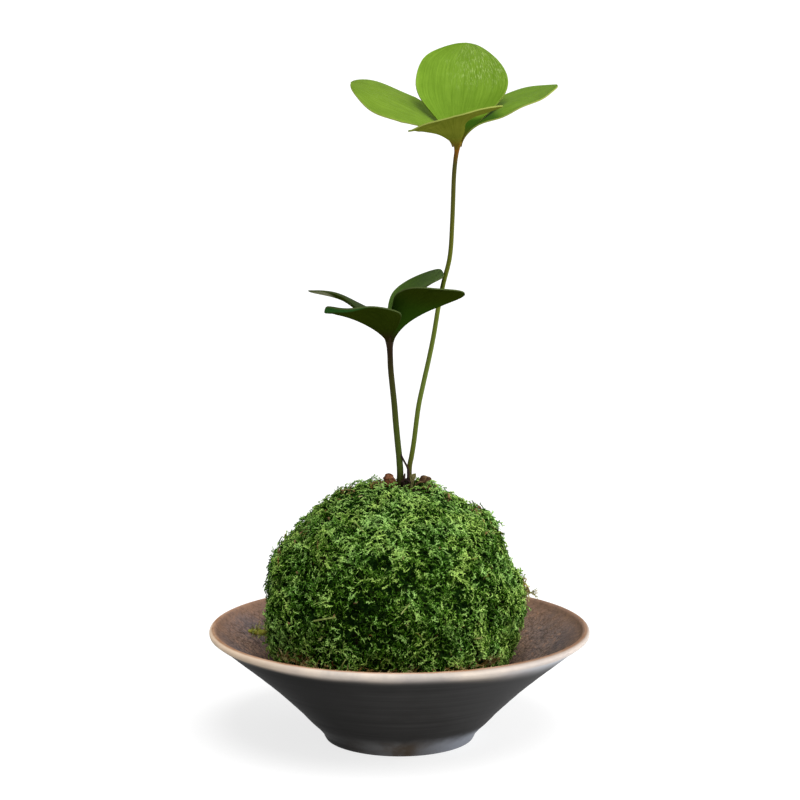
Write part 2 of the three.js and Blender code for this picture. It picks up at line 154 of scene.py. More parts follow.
SHORT_STALK_RADII = [
    (0, 1.1), (0.23, 0.98), (0.46, 0.92), (0.615, 0.9), (0.69, 1), (0.77, 1.28), (0.846, 1.55),
    (0.923, 1.55), (1, 0.5),
]
ROOTLETS = (
    (
        [
            (0.4, -0.6, 91.2), (1.5, -1.5, 89.2), (2.5, -1.9, 87.3), (2.9, -2, 85.3), (2.4, -1.8, 83),
            (1.5, -1.6, 80.6),
        ],
        [(0, 0.3), (0.8, 0.36), (1, 0.3)],
    ),
    ([(1.3, -1.6, 81), (1.4, -1.7, 83.4), (1.7, -1.7, 85.4)], [(0, 0.4), (0.7, 0.36), (1, 0.22)]),
    ([(0.6, -1.4, 82.6), (2, -1.8, 83.4), (3.5, -1.6, 82.4)], [(0, 0.35), (0.5, 0.5), (1, 0.35)]),
)
# Colours up each stalk, from its foot in the soil to its top
STALK_FOOT = 0.082
TALL_STALK_COLOURS = [
    (0, (0.06, 0.045, 0.01)), (0.1, (0.085, 0.11, 0.013)), (0.3, (0.125, 0.17, 0.03)),
    (0.56, (0.145, 0.18, 0.02)), (0.7, (0.12, 0.13, 0.015)), (0.93, (0.08, 0.075, 0.016)),
    (0.97, (0.2, 0.075, 0.006)), (1, (0.17, 0.14, 0.01)),
]
SHORT_STALK_COLOURS = [
    (0, (0.03, 0.028, 0.008)), (0.12, (0.05, 0.074, 0.01)), (0.35, (0.052, 0.072, 0.01)),
    (0.7, (0.045, 0.045, 0.009)), (0.88, (0.026, 0.014, 0.006)), (1, (0.03, 0.02, 0.006)),
]
# Each stalk's route and radii, its steps and sides, how high its colours reach in metres, and the colours
STALKS = {
    "tall": (TALL_STALK, TALL_STALK_RADII, 110, 14, 0.1895, TALL_STALK_COLOURS),
    "short": (SHORT_STALK, SHORT_STALK_RADII, 76, 16, 0.129, SHORT_STALK_COLOURS),
}
RHIZOME_TIP = [(-2.9, -1.5, 77), (-3, -1.6, 80.4), (-3.2, -1.7, 83.2), (-3.7, -1.9, 85.4)]
RHIZOME_RADII = [(0, 1.5), (0.5, 2), (0.82, 1.75), (1, 0.7)]
RHIZOME_MIDDLE = -0.0015

WHORL_RADIUS = 1.3
CLAW_HALF_WIDTH = 0.55
BLADE_STEPS = 120
# What each number of a leaf says, with angles in degrees and lengths in millimetres
LEAF_VALUES = (
    "turn", "rise_base", "rise", "roll", "length", "half_width", "cup_base", "cup",
    "swing", "bend", "droop", "lift", "skew", "tip_roll", "peak", "ruffle",
)
TALL_LEAVES = {
    "back": (
        81.9, 86.8, 62, 4.67, 32.2, 14.2, 46, 5.9,
        1.45, 3.94, -0.51, 0.85, -0.06, -0.67, 0.07, 0.1,
    ),
    "left": (
        171.3, 78.6, 24.7, -12.7, 37.3, 14, 6.67, -9.12,
        15.2, 5.78, -0.14, 0.3, 0.03, -3.52, 0.04, 0.1,
    ),
    "right": (
        11.4, 85.4, 25.1, 1.36, 35.5, 13.6, 24.1, -4.42,
        -2.86, 5.94, 6.53, 0.41, 0.01, -2.59, -0.04, 0.1,
    ),
    "front": (
        267.1, 56.5, 23.4, 17.7, 32.8, 12.9, 47.6, -8.05,
        1.53, 7.11, 3.1, -0.25, -0.19, -2.62, -0.22, 0.1,
    ),
}
SHORT_LEAVES = {
    "front_left": (
        233.9, 67.7, 23.6, 5.61, 29.8, 12.5, 12.4, -2.01,
        -4.98, 4.14, 33.6, 0.5, 0.11, 1.32, 0.11, 0.1,
    ),
    "front_right": (
        316.9, 70.8, 28.4, -12.6, 32.3, 11.9, 48.3, 1.81,
        -2.31, 3.45, 7.75, 0.31, -0.01, 4.56, -0.1, 0.1,
    ),
    "back_right": (
        22.8, 93.1, 28.9, -8.12, 27.8, 11.1, 51.8, 2.34,
        0.06, 1.93, 2.66, 1.32, -0.16, 5.86, -0.05, 0.1,
    ),
    "back_left": (
        148.9, 84.5, 7.7, 17.1, 32.1, 10.6, -8.58, -11.8,
        9.81, 2.45, 12.6, 0.83, 0.01, -4.12, 0.06, 0.1,
    ),
}
# How each blade of the photographed plant strays from a plain fan: a place across and along the blade, and
# how far it is pulled to the right and up there. Each pull fades out over its reach across and along.
PULL_REACH = (0.55, 0.17)
PULLS = {
    "tall_back": ((1, 0.45, -0.7, 0), (0.8, 0.8, -0.6, 1.1), (0, 1, 1.2, 0.9), (0, 0.6, 0.4, 0)),
    "tall_left": (
        (-1, 0.3, 0.2, 1), (1, 0.3, -1.2, -0.3), (-1, 0.55, 0.8, -0.4), (0, 0.8, 0.6, -0.3),
        (-0.8, 0.8, 0, 0.5), (0.8, 0.8, -0.4, -0.8), (0, 1, -0.9, -0.2),
    ),
    "tall_right": (
        (-1, 0.4, 1, -1.3), (1, 0.3, 0.5, 0.5), (0, 0.55, 0.4, 0.8), (1, 0.55, -0.7, -0.4),
        (-0.8, 0.75, 0.9, -0.6), (0.8, 0.8, 0.4, 0.7), (0, 1, 1, 0),
    ),
    "tall_front": (
        (-1, 0.3, 0.4, -0.5), (1, 0.3, -3, 1.8), (-1, 0.55, 1.2, 0.5), (0, 0.55, -0.2, 1.4),
        (1, 0.55, 0.9, -0.5), (-0.8, 0.8, 1.5, -0.9), (0.8, 0.8, 4, -0.2), (0, 1, -0.2, -2),
    ),
    "short_front_left": (
        (1, 0.3, -1, 0), (0, 0.55, 0, 0.4), (-0.8, 0.8, 0, -1.5), (0, 0.8, 0, -1.3),
        (0.8, 0.8, -0.8, 0.4), (-0.4, 1, 0, 1.4), (0.4, 1, 0.6, 0),
    ),
    "short_front_right": (
        (-1, 0.4, 1.1, -0.4), (1, 0.3, 0.7, -0.2), (-0.8, 0.85, 0, 0.8), (0.4, 1, -0.5, 0),
    ),
    "short_back_right": (
        (-1, 0.35, 0.4, -0.9), (1, 0.4, 0, 1), (0, 0.55, -0.8, 0), (0.8, 0.8, 0.6, 0),
        (0, 0.85, -0.2, 0.7), (-0.4, 1, -1.2, 0),
    ),
    "short_back_left": (
        (-1, 0.3, -1, -1.6), (-1, 0.55, -1.5, -1.3), (0, 0.55, 0.3, -0.6), (1, 0.55, -0.4, 0.8),
        (-0.8, 0.8, -0.7, 0.2), (0, 0.85, 0.3, -0.3), (-0.4, 1, -1.7, 0.3),
    ),
}
# What sets single leaves apart: a painted sheen on their wrinkled parts, another green, a tip's colour, and a
# root's colour, where it ends and starts along the blade, and how far it reaches across it. The dark roots of
# the tall back and right leaves are painted shadow from the front leaf
LEAF_LOOKS = {
    "tall_back": {"wrinkle_sheen": 0.62, "root": ((0.02, 0.075, 0.004), 0.28, 0.22, 0.5)},
    "tall_left": {"colour": (0.142, 0.25, 0.0175)},
    "tall_right": {"root": ((0.02, 0.075, 0.004), 0.48, 0.36, 1.5)},
    "short_front_left": {"colour": (0.034, 0.062, 0.006), "tip": (0.024, 0.09, 0.018)},
    "short_front_right": {"under_root": ((0.016, 0.045, 0.003), 0.8, 0.35, 1.5)},
    "short_back_left": {"colour": (0.028, 0.05, 0.006), "tip": (0.2, 0.21, 0.12)},
}
# Each whorl with its leaves, its middle, its leaves' glow, a painted light through the blades, and the colour
# of their foot
WHORLS = (
    ("tall", TALL_LEAVES, (17.65, 0, 187), 0.16, (0.13, 0.075, 0.008)),
    ("short", SHORT_LEAVES, (-3.05, 0, 126.6), 0, (0.022, 0.014, 0.005)),
)
# Of each side of a leaf: its roughness, its shine and how much its veins show
LEAF_SIDES = {"top": (0.4, 0.02, 0.28), "underside": (0.6, 0, 0.3), "edge": (0.6, 0, 0.1)}
LEAF_SHEEN = (0.5, 0.66, 0.22)
LIGHTER_VEINS = (1.25, 1.15, 1.6)
TIP_START = 0.78
TIP_FULL = 0.86
# How strongly a painted sheen shows on a leaf's wrinkled parts, unless its looks say otherwise
USUAL_WRINKLE_SHEEN = 0.08
SCALE_THICKNESS = 0.0003
# Steps across and along each leaf
BLADE_GRID = (26, 40)
# Each dry scale with its values as a blade, its base, its steps across and along, and its two browns
SCALES = {
    "scale": (
        (-6, 46, 10, 24, 5.6, 1.6, 70, 40, 0, 1.4, 0, 0, 0, 0, 0, 0.5), (5, -1.5, 81.4), (8, 14),
        (0.08, 0.042, 0.018), (0.38, 0.26, 0.12),
    ),
    "husk": (
        (-60, 84, 62, 0, 5.2, 1.2, 95, 50, 0, 1.4, 0, 0, 0, 0, 0, 0.4), (3.9, -0.9, 80.6), (10, 14),
        (0.13, 0.12, 0.035), (0.46, 0.4, 0.2),
    ),
}

# Straws caught in the moss, as their two ends and radius, and a yellowed spur
STRAWS = [
    ((-26, -35, 46.6), (-19.2, -38.4, 48.7), 0.3),
    ((0.5, -41.7, 50.5), (3.2, -40.5, 53.7), 0.24),
    ((-17.7, -38.7, 32.9), (-16.2, -39.8, 36), 0.26),
    ((-13.9, -23.4, 74.9), (-10.8, -27.9, 72.5), 0.18),
    ((24, 30, 55), (18, 35, 52.5), 0.24),
    ((38, -6, 46.5), (43, -7.5, 50), 0.16),
]
SPUR = ((-39.8, -6.6, 35.2), (-47.4, -7.2, 36.2), 1.1)
# Tufts that stand out of the moss: place, way out, reach, shoots, their length, dryness and lightness
TUFTS = (
    ((-40.6, -6.5, 35.4), (-1, -0.1, 0.1), 5.2, 44, 2.3, 0.72, 0.8),
    ((38.6, -6.5, 47.6), (1, -0.1, 0.3), 3, 26, 2.1, 0.9, 0.95),
)
# Clumps of dry or yellowed moss: a place, its reach, the share of shoots that are dry, and how dry
DRY_PATCHES = [
    ((-32.1, -3, 70.1), 4.6, 0.5, 0.8), ((-38.2, -3, 62.1), 4.4, 0.45, 0.8),
    ((-30.9, -10, 68.4), 4, 0.3, 0.7), ((25.2, -3, 74.9), 3.6, 0.55, 0.75),
    ((31.6, -3, 68.5), 4.2, 0.5, 0.45), ((33.5, 0, 62.1), 4, 0.3, 0.7),
    ((38.4, -4, 48.5), 3.4, 0.5, 0.9), ((-43.4, -3, 34.5), 3.6, 0.6, 0.35),
    ((-16.7, -4, 80.5), 3.2, 0.45, 0.7), ((8.9, -4, 81.5), 3.4, 0.4, 0.6),
    ((15.8, -4, 79.5), 3, 0.4, 0.7), ((-6, -3, 82), 3, 0.5, 0.75),
    ((10, 33, 62), 4, 0.4, 0.7), ((-28, 26, 58), 4, 0.4, 0.7), ((30, 20, 40), 4, 0.35, 0.6),
]
# Dead moss elsewhere: single shoots, and a fringe along the bowl that reaches higher at the front
DEAD_SHARE = 0.006
FRINGE_SHARE = 0.75
FRINGE_HEIGHT = 2.2
FRONT_FRINGE_TOP = 32.4

CAMERA_PITCH = 10.44
CAMERA_DISTANCE = 934.4
CAMERA_AIM = (0.17, 0, 108.41)
CAMERA_LENS = 135
FLOOR_SIZE = 60
FLOOR_GREY = 0.32
# Each lamp's softness in degrees and the side that it shines from
LAMPS = {"key": (36, (0.12, -0.5, 1)), "side": (45, (0.9, 0.2, 0.6)), "low": (70, (1, -0.3, 0.07))}
# How strong the surround is at the left and at the right, as shares of its setting
SURROUND_SHARES = (0.45, 1.55)


def colour_setting(name, description, default):
    return FloatVectorProperty(
        name=name, description=description, default=default, subtype="COLOR", min=0, max=1,
    )


def length_setting(name, description, default, most):
    return FloatProperty(
        name=name, description=description, default=default, min=0, max=most, unit="LENGTH", precision=5,
    )


def strength_setting(name, description, default):
    return FloatProperty(name=name, description=description, default=default, min=0)


class BowlSettings(bpy.types.PropertyGroup):
    """Sizes and colours of the bowl."""

    steps: IntProperty(name="Steps", description="Steps of the turned bowl", default=160, min=24, max=256)
    ripple: length_setting("Throwing rings", "Height of the rings left by turning", 0.00003, 0.0005)
    rim_depth: length_setting("Rim depth", "How far the pale rim runs down the wall", 0.009, 0.01)
    outside: colour_setting("Outside", "Charcoal glaze of the wall", (0.0238, 0.0231, 0.0224))
    inside: colour_setting("Inside", "Brown glaze inside", (0.3, 0.2, 0.15))
    rim: colour_setting("Rim", "Pale glaze that gathers at the rim", (0.8, 0.69, 0.585))


class MossSettings(bpy.types.PropertyGroup):
    """Density, length and colours of the moss."""

    shoots: IntProperty(name="Shoots", description="Shoots of each layer", default=9400, min=500, max=12000)
    seed: IntProperty(name="Seed", description="Start of the random placing", default=11, min=0)
    length: length_setting("Shoot length", "Length of a usual shoot", 0.0039, 0.01)
    # Deep green, dimmed further for the lowest shade levels, is painted shade low in the moss
    deep: colour_setting("Deep green", "Shoots low in the moss", (0.018, 0.058, 0.001))
    middle: colour_setting("Middle green", "Most of the shoots", (0.053, 0.16, 0.005))
    light: colour_setting("Light green", "Tips and young shoots", (0.46, 0.69, 0.185))
    dry: colour_setting("Dry", "Dead shoots", (0.28, 0.14, 0.045))


class PlantSettings(bpy.types.PropertyGroup):
    """Sizes and colours of the leaves."""

    thickness: length_setting("Blade thickness", "Thickness of a leaf", 0.00042, 0.002)
    tall_top: colour_setting("Young leaf", "Upper side of the tall stalk's leaves", (0.152, 0.285, 0.0185))
    tall_under: colour_setting("Young underside", "Underside of young leaves", (0.125, 0.15, 0.012))
    tall_edge: colour_setting("Young edge", "Thin edge of young leaves", (0.23, 0.29, 0.045))
    short_top: colour_setting("Old leaf", "Upper side of the short stalk's leaves", (0.085, 0.165, 0.024))
    # Old undersides are nearly black: their dark green with painted shade under the leaves
    short_under: colour_setting("Old underside", "Underside of old leaves", (0.018, 0.03, 0.0015))
    short_edge: colour_setting("Old edge", "Thin edge of old leaves", (0.05, 0.075, 0.015))


class StageSettings(bpy.types.PropertyGroup):
    """Floor, lights and camera."""

    key_power: strength_setting("Key light", "Strength of the light overhead", 2.3)
    side_power: strength_setting("Side light", "Strength of the light from the right", 0.9)
    low_power: strength_setting("Low light", "Strength of the light low on the right", 1.3)
    glow: strength_setting("Floor glow", "How much the lit table glows", 0.78)
    surround: strength_setting("Surround", "Strength of the white surround", 0.34)
    lens: FloatProperty(
        name="Lens", description="Focal length of the camera", default=CAMERA_LENS, min=20, max=300,
        unit="CAMERA",
    )


def clear_selection():
    if bpy.context.mode != "OBJECT":
        bpy.ops.object.mode_set(mode="OBJECT")
    bpy.ops.object.select_all(action="DESELECT")


def make_active(piece):
    clear_selection()
    piece.select_set(True)
    bpy.context.view_layer.objects.active = piece


def edit_all():
    """Starts to edit the active piece, with all of it selected."""
    bpy.ops.object.mode_set(mode="EDIT")
    bpy.ops.mesh.select_all(action="SELECT")


def end_edit():
    bpy.ops.object.mode_set(mode="OBJECT")


def draw_out(step):
    """Extrudes what is selected by a step."""
    bpy.ops.mesh.extrude_region_move(TRANSFORM_OT_translate={"value": step})


def apply_modifier(piece, kind, **values):
    make_active(piece)
    modifier = piece.modifiers.new(kind.title(), kind)
    for key, value in values.items():
        setattr(modifier, key, value)
    bpy.ops.object.modifier_apply(modifier=modifier.name)


def shade_smooth(piece, degrees=None):
    make_active(piece)
    if degrees is None:
        bpy.ops.object.shade_smooth()
    else:
        bpy.ops.object.shade_smooth_by_angle(angle=math.radians(degrees))


def points_of(mesh):
    flat = np.empty(len(mesh.vertices) * 3)
    mesh.vertices.foreach_get("co", flat)
    return flat.reshape(-1, 3)


def move_points(mesh, points):
    mesh.vertices.foreach_set("co", np.asarray(points, float).ravel())
    mesh.update()


def keep_value(mesh, name, values):
    """Stores one number for each point of the mesh, for a material to read."""
    layer = mesh.attributes.new(name, "FLOAT", "POINT")
    layer.data.foreach_set("value", np.asarray(values, np.float32).ravel())


def finish_piece(piece, name, materials, nodes):
    piece.name = name
    piece.data.name = name
    for material in materials:
        piece.data.materials.append(material)
    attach(piece, "root")
    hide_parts(*nodes)


def smooth_route(points, steps):
    """Points of a smooth curve through the given ones, evenly spaced by parameter."""
    p = np.array([points[0], *points, points[-1]], float)
    p[0] = 2 * p[1] - p[2]
    p[-1] = 2 * p[-2] - p[-3]
    at = np.linspace(0, len(points) - 1, steps)
    i = np.minimum(at.astype(int), len(points) - 2)
    t = (at - i)[:, None]
    a, b, c, d = p[i], p[i + 1], p[i + 2], p[i + 3]
    return 0.5 * (2 * b + (c - a) * t + (2 * a - 5 * b + 4 * c - d) * t**2 + (3 * b - a - 3 * c + d) * t**3)


def lumps(points, size, depth, seed):
    """Smooth noise at each point, between about minus and plus depth."""
    shift = Vector((17.3 * seed, 5.1 * seed, -9.7 * seed))
    return depth * np.array([noise.noise(Vector(p) / size + shift) for p in points])


def bowl_inside(radius):
    """Height of the bowl's inner surface at a distance from its axis."""
    reach = (radius - INNER_START) / INNER_SOFTNESS
    return INNER_FLOOR + INNER_SLOPE * INNER_SOFTNESS * np.log1p(np.exp(reach))


def bowl_under(points):
    """Height of the bowl's inner surface under each point."""
    return bowl_inside(np.hypot(points[:, 0], points[:, 1]))


def bowl_lean(points):
    """How much each point of the bowl, or at its inner surface, is lifted by the unevenness of the wall."""
    share = np.clip((points[:, 2] - LEAN_START) / LEAN_HEIGHT, 0, 1)
    return share * (LIP_RAISE - LIP_LEAN * points[:, 1] / LEAN_RADIUS)


def above_bowl(points, clearance):
    floor = bowl_under(points) + clearance
    floor += bowl_lean(np.column_stack([points[:, :2], floor]))
    points[:, 2] = np.maximum(points[:, 2], floor)
    return points


# Materials


class Paint:
    """Adds the nodes of one material, node group or world."""

    def __init__(self, tree):
        self.tree = tree

    def fill(self, socket, value):
        """Gives a socket a link, or a number or colour of its own."""
        if isinstance(value, bpy.types.NodeSocket):
            self.tree.links.new(value, socket)
        elif socket.type == "RGBA":
            socket.default_value = (*value[:3], 1)
        else:
            socket.default_value = value

    def node(self, kind, inputs=None, **settings):
        node = self.tree.nodes.new(kind)
        for key, value in settings.items():
            setattr(node, key, value)
        for key, value in (inputs or {}).items():
            self.fill(node.inputs[key], value)
        return node

    def maths(self, operation, *values):
        return self.node("ShaderNodeMath", dict(enumerate(values)), operation=operation).outputs[0]

    def times(self, a, b):
        return self.maths("MULTIPLY", a, b)

    def line(self, value, gain, start):
        """A value times its gain, plus a start."""
        return self.maths("MULTIPLY_ADD", value, gain, start)

    def remap(self, value, low, high, to_low=0, to_high=1, kind="SMOOTHSTEP"):
        inputs = {"Value": value, "From Min": low, "From Max": high, "To Min": to_low, "To Max": to_high}
        return self.node("ShaderNodeMapRange", inputs, interpolation_type=kind).outputs["Result"]

    def mix(self, share, first, second, blend="MIX"):
        node = self.node("ShaderNodeMix", {"Factor": share}, data_type="RGBA", blend_type=blend)
        for key, value in (("A", first), ("B", second)):
            self.fill(next(s for s in node.inputs if s.name == key and s.type == "RGBA"), value)
        return next(s for s in node.outputs if s.type == "RGBA")

    def cover(self, base, *layers):
        """Lays colours over a base. Each shows by a value, from where it starts to where it has its share."""
        for value, start, full, share, colour in layers:
            base = self.mix(self.remap(value, start, full, 0, share), base, colour)
        return base

    def ramp(self, value, stops):
        node = self.node("ShaderNodeValToRGB", {"Fac": value})
        elements = node.color_ramp.elements
        while len(elements) < len(stops):
            elements.new(0.5)
        for element, (place, colour) in zip(elements, stops):
            element.position = place
            element.color = (*colour[:3], 1)
        return node.outputs["Color"]

    def place(self):
        return self.node("ShaderNodeTexCoord").outputs["Object"]

    def blade_map(self):
        return self.node("ShaderNodeUVMap", uv_map="Blade").outputs["UV"]

    def split(self, vector):
        return self.node("ShaderNodeSeparateXYZ", {0: vector}).outputs

    def own_value(self, name):
        return self.node("ShaderNodeAttribute", attribute_name=name).outputs["Fac"]

    def grain(self, vector, scale, detail=3, roughness=0.55):
        """Noise of one scale, or of a scale of its own in each direction."""
        if isinstance(scale, tuple):
            vector = self.node("ShaderNodeMapping", {"Vector": vector, "Scale": scale}).outputs["Vector"]
            scale = 1
        inputs = {"Vector": vector, "Scale": scale, "Detail": detail, "Roughness": roughness}
        return self.node("ShaderNodeTexNoise", inputs).outputs["Fac"]

    def group(self, name, **inputs):
        return self.node("ShaderNodeGroup", inputs, node_tree=bpy.data.node_groups[name]).outputs

    def blotches(self, first, second, scale, amount=1):
        return self.group("Blotches", First=first, Second=second, Scale=scale, Amount=amount)["Color"]

    def surface(self, colour, roughness, shine, relief=None, glow=0):
        """Sets the surface. Its relief is a height, how deep that is and how strongly it shows."""
        values = {
            "Base Color": colour, "Roughness": roughness, "Specular IOR Level": shine,
            "Emission Strength": glow,
        }
        if relief:
            inputs = dict(zip(("Height", "Distance", "Strength"), relief))
            values["Normal"] = self.node("ShaderNodeBump", inputs).outputs["Normal"]
        shader = self.tree.nodes["Principled BSDF"]
        for key, value in values.items():
            self.fill(shader.inputs[key], value)


def start_material(name):
    """A new material with only its surface shader, and its paint."""
    material = bpy.data.materials.new(name)
    material.use_nodes = True
    return material, Paint(material.node_tree)


def start_group(name, inputs, outputs):
    """A new node group with its paint, the sockets of what it is given, and those of what it gives."""
    group = bpy.data.node_groups.new(name, "ShaderNodeTree")
    for label, kind in inputs.items():
        group.interface.new_socket(label, in_out="INPUT", socket_type=kind)
    for label, kind in outputs.items():
        group.interface.new_socket(label, in_out="OUTPUT", socket_type=kind)
    paint = Paint(group)
    return paint, paint.node("NodeGroupInput").outputs, paint.node("NodeGroupOutput").inputs


def build_blotch_group():
    """Two colours mixed in soft, irregular patches on the object's own coordinates."""
    number, colour = "NodeSocketFloat", "NodeSocketColor"
    inputs = {"First": colour, "Second": colour, "Scale": number, "Amount": number}
    paint, given, out = start_group("Blotches", inputs, {"Color": colour})
    patches = paint.remap(paint.grain(paint.place(), given["Scale"], 5, 0.62), 0.36, 0.66)
    mask = paint.times(patches, given["Amount"])
    paint.fill(out["Color"], paint.mix(mask, given["First"], given["Second"]))


def build_fan_vein_group():
    """Fine veins that fan out along a blade, from the blade's own map: across it and along it."""
    number = "NodeSocketFloat"
    outputs = {"Vein": number, "Streak": number, "Wrinkle": number}
    paint, given, out = start_group("Fan veins", {"Count": number, "Sharpness": number}, outputs)
    blade = paint.blade_map()
    across, along, _ = paint.split(blade)
    wandering = paint.line(paint.grain(blade, (7, 5, 1), 2), 0.05, across)
    angle = paint.times(wandering, paint.times(given["Count"], 2 * math.pi))
    finer = paint.times(paint.maths("SINE", paint.times(angle, 2)), paint.remap(along, 0.45, 0.8))
    both = paint.line(finer, 0.7, paint.maths("SINE", angle))
    paint.fill(out["Vein"], paint.remap(both, given["Sharpness"], 1.5))
    paint.fill(out["Streak"], paint.grain(blade, (46, 2.6, 1), 4, 0.6))
    # Wrinkled parts near the tip on one side of the blade: they raise its relief and mask its painted sheen
    dabs = paint.remap(paint.grain(blade, (92, 17, 1), 3, 0.65), 0.5, 0.66)
    loose = paint.grain(blade, (9, 7, 1), 2)
    sideways = paint.remap(paint.line(loose, 0.4, across), 0.98, 0.62)
    outward = paint.remap(paint.line(loose, 0.4, along), 0.68, 1)
    paint.fill(out["Wrinkle"], paint.times(dabs, paint.times(sideways, outward)))


def dimmed(colour, share):
    return [share * c for c in colour]


def build_glaze_material(settings):
    material, paint = start_material("Bowl glaze")
    place = paint.place()
    x, _, z = paint.split(place)
    below_lip = paint.own_value("below_lip")

    # The wall: charcoal with fine rings and dark clouds, with painted shade at its left and a painted grey
    # sheen at its right
    rings = paint.grain(place, (14, 14, 900), 4, 0.65)
    cloud = paint.grain(place, 60, 4)
    wall = paint.cover(
        dimmed(settings.outside, 0.84),
        (rings, 0.3, 0.72, 1, dimmed(settings.outside, 1.28)),
        (cloud, 0.45, 0.75, 0.35, (0.012, 0.011, 0.01)),
        # Painted shade darkens the left, and a painted grey sheen lightens the right
        (x, 0.006, -0.042, 0.97, (0.0035, 0.0034, 0.0032)),
        (x, 0.002, 0.055, 0.38, (0.06, 0.061, 0.064)),
    )

    # The foot is paler, with brown stains, painted shade at its left and a painted bluish highlight at its
    # right
    foot_level = paint.line(paint.grain(place, 160), 0.003, z)
    foot_glaze_and_light = paint.cover(
        paint.blotches((0.1, 0.098, 0.098), (0.058, 0.043, 0.03), 75),
        # Painted shade at the left, then a painted bluish highlight at the right
        (x, -0.002, -0.02, 1, (0.024, 0.024, 0.024)),
        (x, 0.002, 0.02, 1, (0.22, 0.235, 0.27)),
    )
    wall = paint.cover(wall, (foot_level, 0.0092, 0.0042, 0.9, foot_glaze_and_light))

    # The pale glaze that gathered at the rim, fading down the wall
    drift = paint.line(paint.grain(place, 70, 3, 0.5), -1.6, 0.8)
    below = paint.maths("ADD", below_lip, drift)
    below = paint.times(below, paint.remap(x, 0.004, 0.055, 1, 0.45))
    below = paint.times(below, paint.remap(x, -0.059, -0.02, 1.5, 1))
    rim = paint.maths("POWER", paint.remap(below, settings.rim_depth / MM, 0.9), 2.3)
    rim_glaze_and_sheen = paint.cover(
        paint.blotches(settings.rim, (0.47, 0.43, 0.41), 42, 0.8),
        (x, -0.015, -0.055, 0.65, (1, 0.74, 0.5)),
        (x, 0.018, 0.05, 0.55, (0.56, 0.5, 0.47)),
    )
    # A painted bluish sheen low on the rim at the right
    bluish = paint.times(paint.remap(x, 0.025, 0.05), paint.remap(below, 1.2, 2.4))
    rim_glaze_and_sheen = paint.mix(bluish, rim_glaze_and_sheen, (0.5, 0.52, 0.56))
    crest = paint.times(paint.remap(below_lip, 2, 0.3), paint.remap(x, 0.004, 0.024, 0, 0.85))
    outer = paint.mix(crest, paint.mix(rim, wall, rim_glaze_and_sheen), (0.27, 0.2, 0.155))

    # Inside: a greyish brown mottle, finely crackled, with rust brown specks and a warm margin at the rim
    granules = paint.grain(place, 640, 5, 0.75)
    cracks = paint.node("ShaderNodeTexVoronoi", {"Vector": place, "Scale": 520}, feature="DISTANCE_TO_EDGE")
    inside = paint.cover(
        paint.blotches(settings.inside, (0.105, 0.078, 0.07), 62, 0.95),
        (paint.grain(place, 40, 4), 0.42, 0.64, 0.6, (0.22, 0.19, 0.2)),
        (granules, 0.5, 0.66, 0.66, (0.52, 0.28, 0.17)),
        (granules, 0.48, 0.36, 0.8, (0.042, 0.028, 0.024)),
        (cracks.outputs["Distance"], 0.11, 0.02, 0.5, (0.04, 0.024, 0.019)),
        (paint.line(drift, 4, below_lip), -11, -3, 0.4, (0.32, 0.17, 0.1)),
    )
    far_side = paint.remap(paint.maths("ABSOLUTE", x), 0.034, 0.05, 0, 0.3)
    haze = paint.times(far_side, paint.remap(cloud, 0.35, 0.6))
    inside = paint.mix(haze, inside, (0.19, 0.175, 0.19))
    margin = paint.remap(paint.line(drift, 2, below_lip), -5.4, -0.8, 0, 0.85)
    margin = paint.times(margin, paint.remap(granules, 0.38, 0.6, 0.45, 1))
    inside = paint.mix(margin, inside, (0.4, 0.235, 0.155))
    inside = paint.cover(inside, (x, 0.02, 0.05, 0.22, (0.1, 0.075, 0.065)))
    peach = paint.cover(
        (0.56, 0.35, 0.23),
        (paint.grain(place, 130), 0.3, 0.7, 1, (0.36, 0.18, 0.09)),
        (x, 0.012, 0.045, 0.6, (0.15, 0.09, 0.062)),
    )

    inner = paint.own_value("inner")
    colour = paint.mix(paint.own_value("lip"), paint.mix(inner, outer, inside), peach)
    crumbly = paint.times(granules, inner)
    roughness = paint.line(crumbly, 0.3, paint.line(rings, 0.16, 0.38))
    relief = paint.line(crumbly, 1.4, paint.times(rings, 0.3))
    paint.surface(colour, roughness, 0.01, (relief, 0.00016, 0.7))
    return material


def build_moss_material(settings):
    material, paint = start_material("Moss shoots")
    place = paint.place()
    fine = paint.remap(paint.grain(place, 2300, 3, 0.6), 0.3, 0.7, -0.34, 0.34)
    level = paint.maths("ADD", paint.own_value("shade"), fine)
    # The shade value holds painted light and shade besides each shoot's tone: near-black painted shade up to
    # the light tips
    green = paint.ramp(level, [
        (0, dimmed(settings.deep, 0.15)),
        (0.22, dimmed(settings.deep, 0.6)),
        (0.52, settings.middle),
        (0.78, [(a + b) / 2 for a, b in zip(settings.middle, settings.light)]),
        (1, settings.light),
    ])
    patches = paint.cover((0.88, 0.97, 1), (paint.grain(place, 110, 4), 0.38, 0.62, 1, (1, 0.97, 0.8)))
    green = paint.mix(1, green, patches, "MULTIPLY")
    straw = paint.ramp(level, [
        (0, dimmed(settings.dry, 0.16)),
        (0.5, settings.dry),
        (0.8, (0.36, 0.27, 0.1)),
        (1, (0.55, 0.46, 0.24)),
    ])
    paint.surface(paint.mix(paint.own_value("dry"), green, straw), 0.5, 0.045)
    return material


def build_rough_material(name, size, stops, depth, roughness, shine, stain=None):
    """A rough natural stuff, whose colour runs through stops with its grain and may be stained in patches."""
    material, paint = start_material(name)
    place = paint.place()
    fibres = paint.grain(place, size, 5, 0.7)
    colour = paint.ramp(fibres, stops)
    if stain:
        colour = paint.cover(colour, (paint.grain(place, 120, 4), 0.58, 0.7, 0.6, stain))
    paint.surface(colour, roughness, shine, (fibres, depth, 1))
    return material


